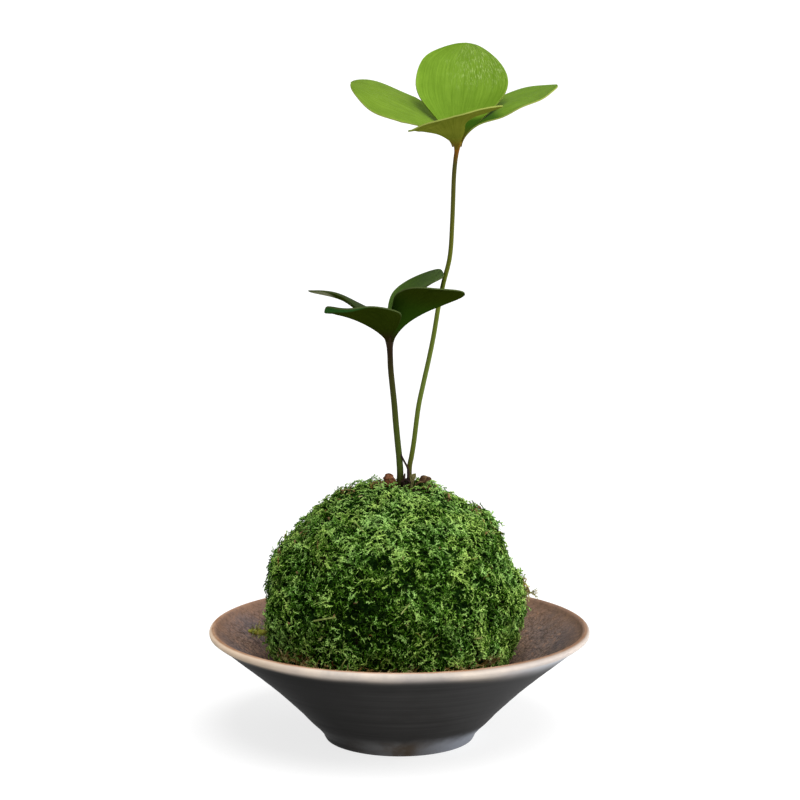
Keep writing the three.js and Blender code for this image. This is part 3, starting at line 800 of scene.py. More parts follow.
def build_bark_material(name, dark, light):
    stops = [(0.32, dimmed(dark, 0.4)), (0.5, dark), (0.72, light)]
    return build_rough_material(name, (700, 700, 220), stops, 0.0003, roughness=0.75, shine=0.15)


def build_stalk_material(name, low, high, stops):
    """A stalk whose colour runs through stops from its foot at low to its top at high, in metres."""
    material, paint = start_material(name)
    place = paint.place()
    height = paint.split(place)[2]
    fibres = paint.grain(place, (2600, 2600, 60))
    colour = paint.ramp(paint.remap(height, low, high, kind="LINEAR"), stops)
    streaks = paint.remap(fibres, 0.35, 0.75, 0, 0.45)
    colour = paint.mix(streaks, colour, (0.42, 0.45, 0.2), "SOFT_LIGHT")
    colour = paint.cover(colour, (paint.grain(place, 1300), 0.6, 0.72, 0.4, (0.07, 0.035, 0.012)))
    paint.surface(colour, 0.45, 0.05, (fibres, 0.0001, 0.5))
    return material


def build_leaf_material(name, side, colour, foot, glow=0, wrinkle_sheen=0, root=None, tip=None):
    """One side of a leaf: fine fan veins, a pale margin, a darker foot and soft blotches.

    Its glow is painted light, an emission in its own colour that stands for the light that comes through the
    thin blade. The pale sheen on its wrinkled parts is a painted highlight.
    """
    roughness, shine, vein_gain = LEAF_SIDES[side]
    material, paint = start_material(f"{name} {side}")
    across, along, _ = paint.split(paint.blade_map())
    veins = paint.group("Fan veins", Count=30, Sharpness=0.55)
    lighter = [min(1, c * gain) for c, gain in zip(colour, LIGHTER_VEINS)]
    base = paint.cover(dimmed(colour, 0.8), (veins["Streak"], 0.2, 0.8, 1, lighter))
    base = paint.mix(paint.times(veins["Vein"], vein_gain), base, lighter)
    base = paint.mix(1, base, paint.blotches(WHITE, (0.62, 0.68, 0.5), 150, 0.35), "MULTIPLY")
    # Painted highlight: a pale sheen over the wrinkled parts
    base = paint.mix(paint.times(veins["Wrinkle"], wrinkle_sheen), base, LEAF_SHEEN)
    # A root in a colour of its own; on the tall back and right leaves it is painted shadow from the front
    # leaf
    if root:
        shade, end, start, reach = root
        inward = paint.remap(across, reach, reach - 0.1)
        base = paint.mix(paint.times(paint.remap(along, end, start, 0, 0.85), inward), base, shade)
    if tip:
        base = paint.cover(base, (along, TIP_START, TIP_FULL, 0.9, tip))
    base = paint.cover(base, (along, 0.2, 0.02, 0.8, foot))
    at_edge = paint.remap(paint.own_value("edge"), 0.45, 0.1, 0, 0.5)
    margin = paint.times(at_edge, paint.remap(along, 0.16, 0.4))
    base = paint.mix(margin, base, [min(1, 1.15 * c + 0.01) for c in lighter])
    # Painted light: the blade glows in its own colour
    paint.fill(paint.tree.nodes["Principled BSDF"].inputs["Emission Color"], base)
    relief = paint.line(veins["Wrinkle"], 0.8, paint.line(veins["Vein"], 0.5, veins["Streak"]))
    paint.surface(base, roughness, shine, (relief, 0.00014, 0.8), glow)
    return material


# Bowl


def bowl_profile():
    """Points of radius and height from the middle of the underside round to the middle of the inner floor.

    Each has a kind as well: 0 outside, 0 to 1 round the lip, and 1 inside.
    """
    wall = smooth_route(BOWL_WALL, WALL_STEPS)[1:]
    arc = np.radians(np.linspace(*LIP_ARC, LIP_STEPS))
    lip = LIP_CENTRE + LIP_ROUND * np.column_stack([np.cos(arc), np.sin(arc)])
    inside = np.column_stack([INSIDE_RADII, bowl_inside(INSIDE_RADII)])
    inside[-3:, 1] = INNER_FLOOR
    outside = np.vstack([FOOT_RIM, wall])
    kinds = np.concatenate([np.zeros(len(outside)), np.linspace(0, 1, LIP_STEPS), np.ones(len(inside))])
    return np.vstack([outside, lip, inside]), kinds


def turned(profile, steps):
    """Turns a profile, in millimetres, round the vertical axis into one closed piece."""
    clear_selection()
    bpy.ops.mesh.primitive_plane_add(size=MM)
    piece = bpy.context.object
    bpy.ops.object.mode_set(mode="EDIT")
    bpy.ops.mesh.merge(type="CENTER")
    bpy.ops.transform.translate(value=(profile[0][0] * MM, 0, profile[0][1] * MM))
    for (r0, z0), (r1, z1) in zip(profile[:-1], profile[1:]):
        draw_out(((r1 - r0) * MM, 0, (z1 - z0) * MM))
    bpy.ops.mesh.select_all(action="SELECT")
    bpy.ops.mesh.spin(steps=steps, angle=2 * math.pi, center=(0, 0, 0), axis=(0, 0, 1))
    bpy.ops.mesh.select_all(action="SELECT")
    bpy.ops.mesh.remove_doubles(threshold=SAME_PLACE)
    bpy.ops.mesh.normals_make_consistent(inside=False)
    end_edit()
    return piece


class PLANT_OT_bowl(bpy.types.Operator):
    """Turns the bowl from its profile and glazes it"""

    bl_idname = "plant.bowl"
    bl_label = "Bowl"

    def execute(self, context):
        settings = context.scene.bowl_settings
        profile, kinds = bowl_profile()
        wall = slice(len(FOOT_RIM), len(FOOT_RIM) + WALL_STEPS - 1)
        profile[wall, 0] += settings.ripple / MM * np.sin(profile[wall, 1] * RINGS_PER_MM)
        bowl = turned(profile, settings.steps)
        points = points_of(bowl.data) / MM
        radii = np.hypot(points[:, 0], points[:, 1])[:, None]
        near = np.argmin((radii - profile[:, 0]) ** 2 + (points[:, 2:] - profile[:, 1]) ** 2, axis=1)
        steps = np.hypot(*np.diff(profile, axis=0).T)
        along = np.concatenate([[0], np.cumsum(steps)])
        crest = along[np.argmax(profile[:, 1])]
        kind = kinds[near]
        keep_value(bowl.data, "inner", np.clip((kind - INNER_GLAZE[0]) / INNER_GLAZE[1], 0, 1))
        keep_value(bowl.data, "lip", np.clip(1.3 - np.abs(kind - LIP_LINE[0]) / LIP_LINE[1], 0, 1))
        keep_value(bowl.data, "below_lip", crest - along[near])
        points[:, 2] += bowl_lean(points)
        move_points(bowl.data, points * MM)
        shade_smooth(bowl)
        finish_piece(bowl, "glazed_bowl", [build_glaze_material(settings)], ["bowl"])
        return {"FINISHED"}


# Moss ball


def cleft_depth(points):
    """How deep each point lies in a cleft, from 0 to 1."""
    depth = np.zeros(len(points))
    for run in CLEFTS:
        for start, end in zip(np.array(run[:-1], float), np.array(run[1:], float)):
            way = end - start
            share = np.clip((points - start) @ way / (way @ way), 0, 1)
            away = np.linalg.norm(points - start - share[:, None] * way, axis=1)
            depth = np.maximum(depth, np.clip(1 - away / CLEFT_REACH, 0, 1))
    return depth


def mat_reach(directions):
    """How far the mat of moss reaches from the ball's centre in each direction, and how high it stands."""
    at = directions * MAT_RADIUS
    height = sum(lumps(at, size, depth, seed) for seed, (size, depth) in enumerate(SWELLS, 1))
    mounds = np.zeros(len(at))
    for place, rise, reach in MOUNDS:
        mounds += rise * np.exp(-(np.linalg.norm(at - np.array(place) * MAT_RADIUS, axis=1) / reach) ** 2)
    depth = cleft_depth(BALL_CENTRE + directions * (MAT_RADIUS + 2))
    return MAT_RADIUS + height + mounds - CLEFT_DEPTH * depth, height, depth


def in_opening(points):
    """How far inside the opening for the stalks each point is: over 1 outside, 0 in its middle."""
    x = (points[:, 0] - OPENING_CENTRE[0]) / OPENING_HALF[0]
    y = (points[:, 1] - OPENING_CENTRE[1]) / OPENING_HALF[1]
    return np.where(points[:, 2] > BALL_CENTRE[2], np.hypot(x, y), 9)


def fine_ball():
    clear_selection()
    bpy.ops.mesh.primitive_ico_sphere_add(subdivisions=6, radius=1)
    return bpy.context.object


class PLANT_OT_soil(bpy.types.Operator):
    """Shapes the ball of soil inside the moss, with its crumbly top"""

    bl_idname = "plant.soil"
    bl_label = "Soil"

    def execute(self, context):
        soil = fine_ball()
        around = points_of(soil.data) * SOIL_RADIUS
        points = BALL_CENTRE + around
        lifted = np.clip(4 * (1.25 - in_opening(points)), 0, 1)
        crumbs = lumps(around, 1.6, 0.9, 4)
        points[:, 2] += (SOIL_TOP + crumbs - points[:, 2]) * lifted
        move_points(soil.data, above_bowl(points, SOIL_UNDERSIDE) * MM)
        shade_smooth(soil)
        stops = [(0.3, (0.006, 0.004, 0.003)), (0.55, (0.028, 0.017, 0.01)), (0.75, (0.09, 0.055, 0.032))]
        damp = build_rough_material("Damp soil", 900, stops, 0.0006, roughness=0.85, shine=0.1)
        finish_piece(soil, "soil", [damp], ["soil_ball"])
        return {"FINISHED"}


class PLANT_OT_moss_mat(bpy.types.Operator):
    """Shapes the dense mat that the shoots grow from"""

    bl_idname = "plant.moss_mat"
    bl_label = "Moss mat"

    def execute(self, context):
        mat = fine_ball()
        directions = points_of(mat.data)
        reach, _, _ = mat_reach(directions)
        points = BALL_CENTRE + directions * reach[:, None]
        points[:, 2] -= OPENING_DEPTH * np.clip((1.05 - in_opening(points)) * 5, 0, 1)
        move_points(mat.data, above_bowl(points, MAT_UNDERSIDE) * MM)
        shade_smooth(mat)
        # Nearly black greens: painted shade, seen deep in the gaps between the shoots; the brown is a stain
        stops = [(0.3, (0.002, 0.005, 0.001)), (0.5, (0.008, 0.028, 0.004)), (0.72, (0.025, 0.075, 0.01))]
        brown = (0.03, 0.016, 0.007)
        tangle = build_rough_material("Moss mat", 620, stops, 0.0008, roughness=0.9, shine=0, stain=brown)
        finish_piece(mat, "moss_mat", [tangle], ["moss_cover"])
        return {"FINISHED"}


def taken_shape(piece):
    """The points and triangles of a modelled shape, which is then put away."""
    make_active(piece)
    edit_all()
    bpy.ops.mesh.quads_convert_to_tris()
    end_edit()
    mesh = piece.data
    points = points_of(mesh)
    faces = np.empty(len(mesh.polygons) * 3, np.int32)
    mesh.polygons.foreach_get("vertices", faces)
    bpy.data.objects.remove(piece)
    bpy.data.meshes.remove(mesh)
    return points, faces.reshape(-1, 3)


def model_shoot(seed, leafy):
    """Models one curled shoot of unit length that grows along +Y, with +Z away from the moss."""
    rng = random.Random(seed)
    clear_selection()
    bpy.ops.mesh.primitive_circle_add(
        vertices=3, radius=SHOOT_GIRTH, fill_type="NGON", rotation=(math.pi / 2, 0, 0),
    )
    shoot = bpy.context.object
    bpy.ops.object.transform_apply()
    edit_all()
    at = Vector((0, 0, 0))
    lift = rng.uniform(0.2, 1)
    drop = rng.uniform(-1.3, -0.2)
    turn = rng.choice((-1, 1)) * rng.uniform(0.25, 0.9)
    steps = len(SHOOT_NARROWING)
    back_at = 3 if rng.random() < 0.4 else steps
    heading = rng.uniform(-0.2, 0.2)
    joints = []
    for k, narrow in enumerate(SHOOT_NARROWING):
        slope = lift + (drop - lift) * k / (steps - 1)
        bend = -turn if k >= back_at else turn
        heading += bend
        level = math.cos(slope)
        step = Vector((-math.sin(heading) * level, math.cos(heading) * level, math.sin(slope))) / steps
        draw_out(step)
        at += step
        bpy.ops.transform.rotate(value=-bend, orient_axis="Z", center_override=at)
        bpy.ops.transform.resize(value=(narrow, narrow, narrow), center_override=at)
        joints.append((at.copy(), heading))
    bpy.ops.mesh.merge(type="CENTER")
    for joint, facing in joints[:4] if leafy else ():
        for side in (-1, 1):
            spread = facing + side * rng.uniform(0.5, 1.1)
            reach = rng.uniform(0.18, 0.27)
            outward = Vector((-math.sin(spread), math.cos(spread), rng.uniform(0.1, 0.8))).normalized()
            add_leaflet(shoot, joint + outward * reach / 2, outward, reach)
    return taken_shape(shoot)


def add_leaflet(shoot, middle, outward, reach):
    """Adds a diamond to the shoot that is being edited, and draws it out along its own length."""
    bpy.ops.mesh.primitive_circle_add(
        vertices=4, radius=LEAFLET_GIRTH, fill_type="NGON", location=middle,
        rotation=outward.to_track_quat("Y", "Z").to_euler(),
    )
    end_edit()
    for corner in shoot.data.vertices[-4:]:
        along = (corner.co - middle).dot(outward)
        corner.co += outward * along * (reach / 2 / LEAFLET_GIRTH - 1)
    bpy.ops.object.mode_set(mode="EDIT")


def model_flake(seed):
    """Models a crumpled flake of bark or dead moss about one unit long."""
    rng = random.Random(seed)
    clear_selection()
    bpy.ops.mesh.primitive_ico_sphere_add(subdivisions=1, radius=0.5)
    flake = bpy.context.object
    edit_all()
    size = (rng.uniform(0.4, 0.7), 1, rng.uniform(0.25, 0.45))
    bpy.ops.transform.resize(value=size, center_override=(0, 0, 0))
    end_edit()
    move_points(flake.data, [v.co * rng.uniform(0.75, 1.3) for v in flake.data.vertices])
    return taken_shape(flake)


def frames_on_ball(normals, headings, tilts):
    """For each shoot its own directions across, along and away from the moss, as the rows of a matrix."""
    level = np.cross(np.array([0.0, 0.0, 1.0]), normals)
    level /= np.maximum(np.linalg.norm(level, axis=1, keepdims=True), 1e-9)
    slope = np.cross(normals, level)
    along = level * np.cos(headings)[:, None] + slope * np.sin(headings)[:, None]
    along = along * np.cos(tilts)[:, None] + normals * np.sin(tilts)[:, None]
    across = np.cross(along, normals)
    across /= np.linalg.norm(across, axis=1, keepdims=True)
    return np.stack([across, along, np.cross(across, along)], axis=1)


def piece_from_copies(name, shapes, copies, tip_gain=0):
    """Joins copies of the shapes into one piece, each at its root and in its frame and size.

    Its points keep the dryness and the shade of their copy, and the shade rises towards the tips by tip_gain,
    which paints shade at the roots.
    """
    placed, joined, kept = [], [], {"shade": [], "dry": []}
    first = 0
    for index, (points, faces) in enumerate(shapes):
        here = copies["picks"] == index
        frames = copies["frames"][here] * copies["sizes"][here][:, :, None]
        placed.append(np.einsum("pk,nkc->npc", points, frames) + copies["roots"][here][:, None, :])
        offsets = first + len(points) * np.arange(len(frames))
        joined.append((faces[None] + offsets[:, None, None]).ravel())
        towards_tip = np.linalg.norm(points, axis=1)
        towards_tip = towards_tip / towards_tip.max() - 0.5
        for key, gain in (("shade", tip_gain), ("dry", 0)):
            kept[key].append((copies[key][here][:, None] + gain * towards_tip).ravel())
        first += len(points) * len(frames)
    points = above_bowl(np.vstack([part.reshape(-1, 3) for part in placed]), SHOOT_CLEARANCE)
    corners = np.concatenate(joined).astype(np.int32)
    mesh = bpy.data.meshes.new(name)
    mesh.vertices.add(len(points))
    mesh.vertices.foreach_set("co", (points * MM).ravel())
    mesh.loops.add(len(corners))
    mesh.loops.foreach_set("vertex_index", corners)
    mesh.polygons.add(len(corners) // 3)
    mesh.polygons.foreach_set("loop_start", np.arange(0, len(corners), 3, dtype=np.int32))
    mesh.update(calc_edges=True)
    for key, values in kept.items():
        keep_value(mesh, key, np.concatenate(values))
    piece = bpy.data.objects.new(name, mesh)
    bpy.context.scene.collection.objects.link(piece)
    return piece


def spread_directions(count, lowest, rng):
    """Directions spread evenly over the ball from its top down to a lowest height, each nudged at random."""
    k = np.arange(count) + rng.random(count)
    height = 1 - (1 - lowest) * k / count
    angle = k * math.pi * (3 - math.sqrt(5)) + rng.normal(0, 0.05, count)
    reach = np.sqrt(np.maximum(0, 1 - height**2))
    return np.column_stack([reach * np.cos(angle), reach * np.sin(angle), height])


def patch_dryness(points, rng):
    """How dry each shoot is: in the dry patches, in the dead fringe at the bowl and, for a few, anywhere."""
    count = len(points)
    dry = np.where(rng.random(count) < DEAD_SHARE, rng.uniform(0.3, 0.9, count), 0.0)
    for centre, reach, share, dryness in DRY_PATCHES:
        away = np.linalg.norm(points - np.array(centre), axis=1)
        chosen = (away < reach) & (rng.random(count) < share * (1.3 - away / reach))
        dry = np.where(chosen, np.maximum(dry, dryness * rng.uniform(0.75, 1.15, count)), dry)
    low_front = (points[:, 1] < -18) & (points[:, 2] < FRONT_FRINGE_TOP + lumps(points, 4, 1.2, 3))
    at_bowl = points[:, 2] - bowl_under(points) < FRINGE_HEIGHT
    fringe = (at_bowl | low_front) & (rng.random(count) < FRINGE_SHARE)
    return np.clip(np.where(fringe, np.maximum(dry, rng.uniform(0.7, 1, count)), dry), 0, 1)


def daylight(directions):
    """Painted light and shade: how much lighter shoots are on the ball's top and at its sides than mid front.
    """
    height = directions[:, 2]
    side = np.abs(directions[:, 0])
    light = np.maximum(0.72 * height - 0.345, -0.11) + 0.04 * directions[:, 0]
    light += 0.2 * np.clip(0.6 - 4 * height, 0, 1) + 0.03 * side
    return light + 0.11 * side * np.clip(1.1 - 1.2 * height, 0, 1)


MossLayer = namedtuple("MossLayer", "name share sunk tilt size shade leafy")
# How each layer of shoots lies: its share of the shoots, then ranges of how far they stand out of the mat,
# how steeply they rise, how long they are and how light, the deeper layers darker as painted shade, and the
# share of leafy ones
MOSS_LAYERS = (
    MossLayer("moss_under", 0.7, (-0.9, 0.1), (0.1, 0.7), (0.85, 1.2), (0, 0.3), 0.1),
    MossLayer("moss_middle", 1.0, (-0.4, 0.6), (0.0, 0.7), (0.7, 1.15), (0.05, 0.55), 0.4),
    MossLayer("moss_outer", 0.95, (0.2, 1.2), (-0.15, 0.45), (0.5, 0.95), (0.22, 1.0), 0.65),
)


def lay_shoots(layer, settings, rng):
    """How each shoot of one layer lies, and which of the bare or leafy shapes it has."""
    directions = spread_directions(int(settings.shoots * layer.share), LOWEST_SHOOT, rng)
    reach, height, cleft = mat_reach(directions)
    points = BALL_CENTRE + directions * reach[:, None]
    count = len(points)
    front, back = rng.uniform(*FRONT_EDGE, count), rng.uniform(*BACK_EDGE, count)
    clear = in_opening(points) > np.where(points[:, 1] < 0.5, front, back)
    clear &= points[:, 2] - bowl_under(points) > -0.4
    clear &= rng.random(count) > CLEFT_BARENESS * cleft
    directions, height, cleft, points = (a[clear] for a in (directions, height, cleft, points))
    count = len(points)
    upward = directions[:, 2]
    roots = points + directions * rng.uniform(*layer.sunk, count)[:, None]
    headings = lumps(points, 9, 2.6, 7) * math.pi + rng.normal(0, 0.95, count)
    tilts = rng.uniform(*layer.tilt, count) * np.where(upward > 0.8, 0.5, 1)
    size = settings.length / MM * rng.uniform(*layer.size, count) * np.where(upward > 0.85, 0.8, 1)
    girth = size * rng.uniform(0.8, 1.25, count)
    is_leafy = rng.random(count) < layer.leafy
    leafy_picks = rng.integers(BARE_SHAPES, BARE_SHAPES + LEAFY_SHAPES, count)
    picks = np.where(is_leafy, leafy_picks, rng.integers(0, BARE_SHAPES, count))
    # A shoot's shade is its own random tone and its clump's, with painted light and shade: lighter on swells
    # and by daylight(), darker in clefts
    shade = rng.uniform(*layer.shade, count) + 0.07 * height + daylight(directions)
    shade += lumps(points, 4.5, 0.32, 9) - 0.45 * cleft
    return {
        "roots": roots, "frames": frames_on_ball(directions, headings, tilts), "picks": picks,
        "sizes": np.column_stack([girth, size, size]), "shade": np.clip(shade, 0, 1),
        "dry": patch_dryness(points, rng), "behind": directions[:, 1] > 0,
    }


class PLANT_OT_moss(bpy.types.Operator):
    """Models a few curled shoots and covers the mat with copies of them"""

    bl_idname = "plant.moss"
    bl_label = "Moss shoots"

    def execute(self, context):
        settings = context.scene.moss_settings
        rng = np.random.default_rng(settings.seed)
        shapes = [model_shoot(seed, False) for seed in range(BARE_SHAPES)]
        shapes += [model_shoot(LEAFY_SEED + seed, True) for seed in range(LEAFY_SHAPES)]
        material = build_moss_material(settings)
        for layer in MOSS_LAYERS:
            copies = lay_shoots(layer, settings, rng)
            for half, suffix in ((~copies["behind"], "front"), (copies["behind"], "back")):
                name = f"{layer.name}_{suffix}"
                chosen = {key: values[half] for key, values in copies.items()}
                piece = piece_from_copies(name, shapes, chosen, tip_gain=0.4)
                shade_smooth(piece)
                finish_piece(piece, name, [material], ["moss_cover"])
        return {"FINISHED"}


def strewn_copies(rng, roots, outward, tilt, size, form, shade, dry, shapes):
    """Copies that lie any way round at the roots, with random tilts, sizes, shades, dryness and shapes."""
    count = len(roots)
    return {
        "roots": roots,
        "frames": frames_on_ball(outward, rng.uniform(0, 6.3, count), rng.uniform(*tilt, count)),
        "sizes": rng.uniform(*size, count)[:, None] * np.array(form),
        "shade": rng.uniform(*shade, count),
        "dry": np.clip(rng.uniform(*dry, count), 0, 1),
        "picks": rng.integers(0, shapes, count),
    }


class PLANT_OT_litter(bpy.types.Operator):
    """Adds the straws, bark flakes, dead bits and loose tufts that are caught in the moss"""

    bl_idname = "plant.litter"
    bl_label = "Litter in the moss"

    def execute(self, context):
        rng = np.random.default_rng(LITTER_SEED)
        flakes = [model_flake(seed) for seed in range(FLAKE_SHAPES)]
        places = [
            np.array(centre) + rng.normal(0, reach * 0.4, (FLAKES_IN_PATCH, 3))
            for centre, reach, _, dryness in DRY_PATCHES if dryness > 0.5
        ]
        places.append(BALL_CENTRE + spread_directions(LOOSE_FLAKES, -0.4, rng) * MAT_RADIUS)
        directions = np.vstack(places) - BALL_CENTRE
        directions /= np.linalg.norm(directions, axis=1, keepdims=True)
        reach, _, _ = mat_reach(directions)
        roots = BALL_CENTRE + directions * (reach + rng.uniform(1.2, 2.8, len(reach)))[:, None]
        keep = in_opening(roots) > 1.1
        copies = strewn_copies(
            rng, roots[keep], directions[keep], tilt=(-0.3, 1.2), size=(0.7, 1.8), form=(1, 1, 1),
            shade=(0.3, 0.75), dry=(0.85, 1), shapes=FLAKE_SHAPES,
        )
        litter = piece_from_copies("litter", flakes, copies)
        bark = build_bark_material("Bark flakes", (0.13, 0.08, 0.03), (0.38, 0.25, 0.11))
        finish_piece(litter, "litter", [bark], ["moss_cover"])

        straw = build_bark_material("Straw", (0.2, 0.26, 0.06), (0.42, 0.48, 0.17))
        olive = build_bark_material("Yellowed spur", (0.27, 0.28, 0.03), (0.62, 0.58, 0.15))
        for index, (start, end, radius) in enumerate((*STRAWS, SPUR), 1):
            middle = (Vector(start) + Vector(end)) / 2
            sag = middle + (middle - Vector(BALL_CENTRE)).normalized() * 0.5
            radii = [(0, radius), (0.7, radius * 0.8), (1, radius * 0.4)]
            piece = model_stem([start, sag, end], radii, steps=9, sides=12)
            material = straw if index <= len(STRAWS) else olive
            finish_piece(piece, f"straw_{index}", [material], ["moss_cover"])

        shoots = [model_shoot(LEAFY_SEED + seed, True) for seed in range(TUFT_SHAPES)]
        moss = bpy.data.materials["Moss shoots"]
        for index, (place, outward, reach, count, size, dry, shade) in enumerate(TUFTS, 1):
            way = np.array(outward, float)
            roots = np.array(place, float) + way * rng.uniform(-0.2, 1, count)[:, None] * reach
            roots += rng.normal(0, 0.35, (count, 3))
            normals = way + rng.normal(0, 0.2, (count, 3))
            normals /= np.linalg.norm(normals, axis=1, keepdims=True)
            copies = strewn_copies(
                rng, roots, normals, tilt=(0.5, 1.4), size=(0.6 * size, size), form=(2.2, 1, 1.3),
                shade=(shade - 0.2, shade + 0.1), dry=(dry - 0.3, dry + 0.2), shapes=TUFT_SHAPES,
            )
            tuft = piece_from_copies(f"tuft_{index}", shoots, copies, tip_gain=0.2)
            shade_smooth(tuft)
            finish_piece(tuft, f"tuft_{index}", [moss], ["moss_cover"])
        return {"FINISHED"}


# Plant


def model_stem(points, radii, steps, sides):
    """A round stem: a disc that is drawn out along a smooth curve through the points, in millimetres."""
    route = smooth_route(points, steps) * MM
    widths = np.interp(np.linspace(0, 1, steps), *np.array(radii).T) * MM
    clear_selection()
    bpy.ops.mesh.primitive_circle_add(vertices=sides, radius=widths[0], fill_type="NGON", location=(0, 0, 0))
    stem = bpy.context.object
    edit_all()
    for _ in range(steps - 1):
        draw_out((0, 0, MM))
    bpy.ops.mesh.select_all(action="SELECT")
    bpy.ops.mesh.normals_make_consistent(inside=False)
    end_edit()
    placed = points_of(stem.data)
    levels = np.rint(placed[:, 2] / MM).astype(int)
    tangents = np.gradient(route, axis=0)
    tangents /= np.linalg.norm(tangents, axis=1, keepdims=True)
    side = np.array([1.0, 0, 0])
    for level in range(steps):
        side = side - tangents[level] * (side @ tangents[level])
        side /= np.linalg.norm(side)
        over = np.cross(tangents[level], side)
        ring = levels == level
        flat = placed[ring, :2] / widths[0] * widths[level]
        placed[ring] = route[level] + flat[:, :1] * side + flat[:, 1:] * over
    move_points(stem.data, placed)
    shade_smooth(stem, 50)
    return stem


def fan_share(t):
    """How much of its greatest width a leaflet has at t along it: a narrow wedge opens into a round fan."""
    return np.sin(np.arccos(np.clip(1 - 2 * t, -1, 1))) * (1 - 0.95 * (1 - t) ** 2.6) / 0.895


def half_width(leaf, t):
    squared = 1 + leaf["peak"] * np.cos(np.pi * np.clip((t - 0.25) / 0.75, 0, 1))
    claw = CLAW_HALF_WIDTH * np.minimum(1, (1 - t) * 30)
    return np.maximum(leaf["half_width"] * fan_share(t) * squared, claw)


def along_curve(t, s, table):
    return np.column_stack([np.interp(t, s, column) for column in table.T])


def blade_places(leaf, base, t, u, pulls):
    """Places of points at t along and u across a blade, in millimetres."""
    s = np.linspace(0, 1, BLADE_STEPS + 1)
    droop = leaf["droop"] * np.clip((s - 0.62) / 0.38, 0, 1) ** 1.5
    rise = np.radians(leaf["rise"] + (leaf["rise_base"] - leaf["rise"]) * (1 - s) ** leaf["bend"] - droop)
    heading = np.radians(leaf["turn"] + leaf["swing"] * s)
    forward = np.column_stack([np.cos(heading) * np.cos(rise), np.sin(heading) * np.cos(rise), np.sin(rise)])
    level = np.column_stack([-np.sin(heading), np.cos(heading), 0 * s])
    up = np.cross(forward, level)
    tip_roll = leaf["tip_roll"] * np.clip((s - 0.4) / 0.6, 0, 1) ** 1.5
    roll = np.radians(leaf["roll"] * np.minimum(1, 2 * s) + tip_roll)
    across = level * np.cos(roll)[:, None] + up * np.sin(roll)[:, None]
    up = np.cross(forward, across)
    run = (forward[1:] + forward[:-1]) / 2 * leaf["length"] / BLADE_STEPS
    middle = np.vstack([[0, 0, 0], np.cumsum(run, axis=0)]) + base
    curl = np.radians(leaf["cup_base"] + (leaf["cup"] - leaf["cup_base"]) * t)
    curl = np.where(np.abs(curl) < 1e-3, 1e-3, curl)
    bend_radius = half_width(leaf, t) / curl
    sideways = bend_radius * np.sin(curl * u) * (1 + leaf["skew"] * np.tanh(3 * u))
    over = bend_radius * (1 - np.cos(curl * u))
    wave = np.sin(9.5 * t + 2.2 * u + leaf["turn"]) * np.abs(u) ** 2.5 + 0.35 * np.sin(5 * u + 7 * t)
    over += leaf["ruffle"] * wave * np.clip(4 * t - 0.8, 0, 1) * np.clip(4 * (1 - t), 0, 1)
    places = along_curve(t, s, middle) + along_curve(t, s, across) * sideways[:, None]
    places += along_curve(t, s, up) * over[:, None]
    for u0, t0, right, higher in pulls:
        away = ((u * fan_share(t) - u0) / PULL_REACH[0]) ** 2 + ((t - t0) / PULL_REACH[1]) ** 2
        pull = np.exp(-away) * np.clip(8 * t, 0, 1)
        places[:, 0] += right * pull
        places[:, 2] += higher * pull
    return places


def model_blade(values, base, thickness, materials, grid, pulls=()):
    """A leaf shaped from a grid, with a map of where each point lies across and along it.

    Its three materials are those of its upper side, its underside and its edge.
    """
    leaf = dict(zip(LEAF_VALUES, values))
    clear_selection()
    bpy.ops.mesh.primitive_grid_add(x_subdivisions=grid[0], y_subdivisions=grid[1], size=2)
    blade = bpy.context.object
    flat = points_of(blade.data)
    u = flat[:, 0]
    t = (1 - np.cos(math.pi * (flat[:, 1] + 1) / 2)) / 2
    blade_map = blade.data.uv_layers[0]
    blade_map.name = "Blade"
    corners = np.empty(len(blade.data.loops), np.int32)
    blade.data.loops.foreach_get("vertex_index", corners)
    blade_map.data.foreach_set("uv", np.column_stack([(u + 1) / 2, t])[corners].ravel())
    to_side = half_width(leaf, t) * (1 - np.abs(u))
    keep_value(blade.data, "edge", np.minimum(to_side, leaf["length"] * (1 - t)))
    move_points(blade.data, blade_places(leaf, base, t, u, pulls) * MM)
    edit_all()
    bpy.ops.mesh.remove_doubles(threshold=SAME_PLACE)
    bpy.ops.mesh.flip_normals()
    end_edit()
    for material in materials:
        blade.data.materials.append(material)
    apply_modifier(
        blade, "SOLIDIFY", thickness=thickness, offset=0.0, use_even_offset=False, material_offset=1,
        material_offset_rim=2,
    )
    shade_smooth(blade, 50)
    return blade


class PLANT_OT_leaves(bpy.types.Operator):
    """Shapes the eight fan-shaped leaves of the two whorls"""

    bl_idname = "plant.leaves"
    bl_label = "Leaves"

    def execute(self, context):
        settings = context.scene.plant_settings
        for kind, blades, whorl, glow, foot in WHORLS:
            top_colour, under_colour, edge_colour = (
                getattr(settings, f"{kind}_{side}") for side in ("top", "under", "edge")
            )
            rim = build_leaf_material(f"Leaf {kind}", "edge", edge_colour, foot)
            for place, values in blades.items():
                name = f"Leaf {kind} {place}"
                looks = LEAF_LOOKS.get(f"{kind}_{place}", {})
                tip = looks.get("tip")
                top = build_leaf_material(
                    name, "top", looks.get("colour", top_colour), foot, glow,
                    looks.get("wrinkle_sheen", USUAL_WRINKLE_SHEEN), looks.get("root"), tip,
                )
                under = build_leaf_material(
                    name, "underside", under_colour, foot, root=looks.get("under_root"), tip=tip,
                )
                turn, lift = math.radians(values[0]), values[LEAF_VALUES.index("lift")]
                base = whorl + np.array([WHORL_RADIUS * math.cos(turn), WHORL_RADIUS * math.sin(turn), lift])
                pulls = PULLS[f"{kind}_{place}"]
                blade = model_blade(values, base, settings.thickness, (top, under, rim), BLADE_GRID, pulls)
                finish_piece(blade, f"leaf_{kind}_{place}", (), [f"{kind}_leaf_{place}"])
        return {"FINISHED"}


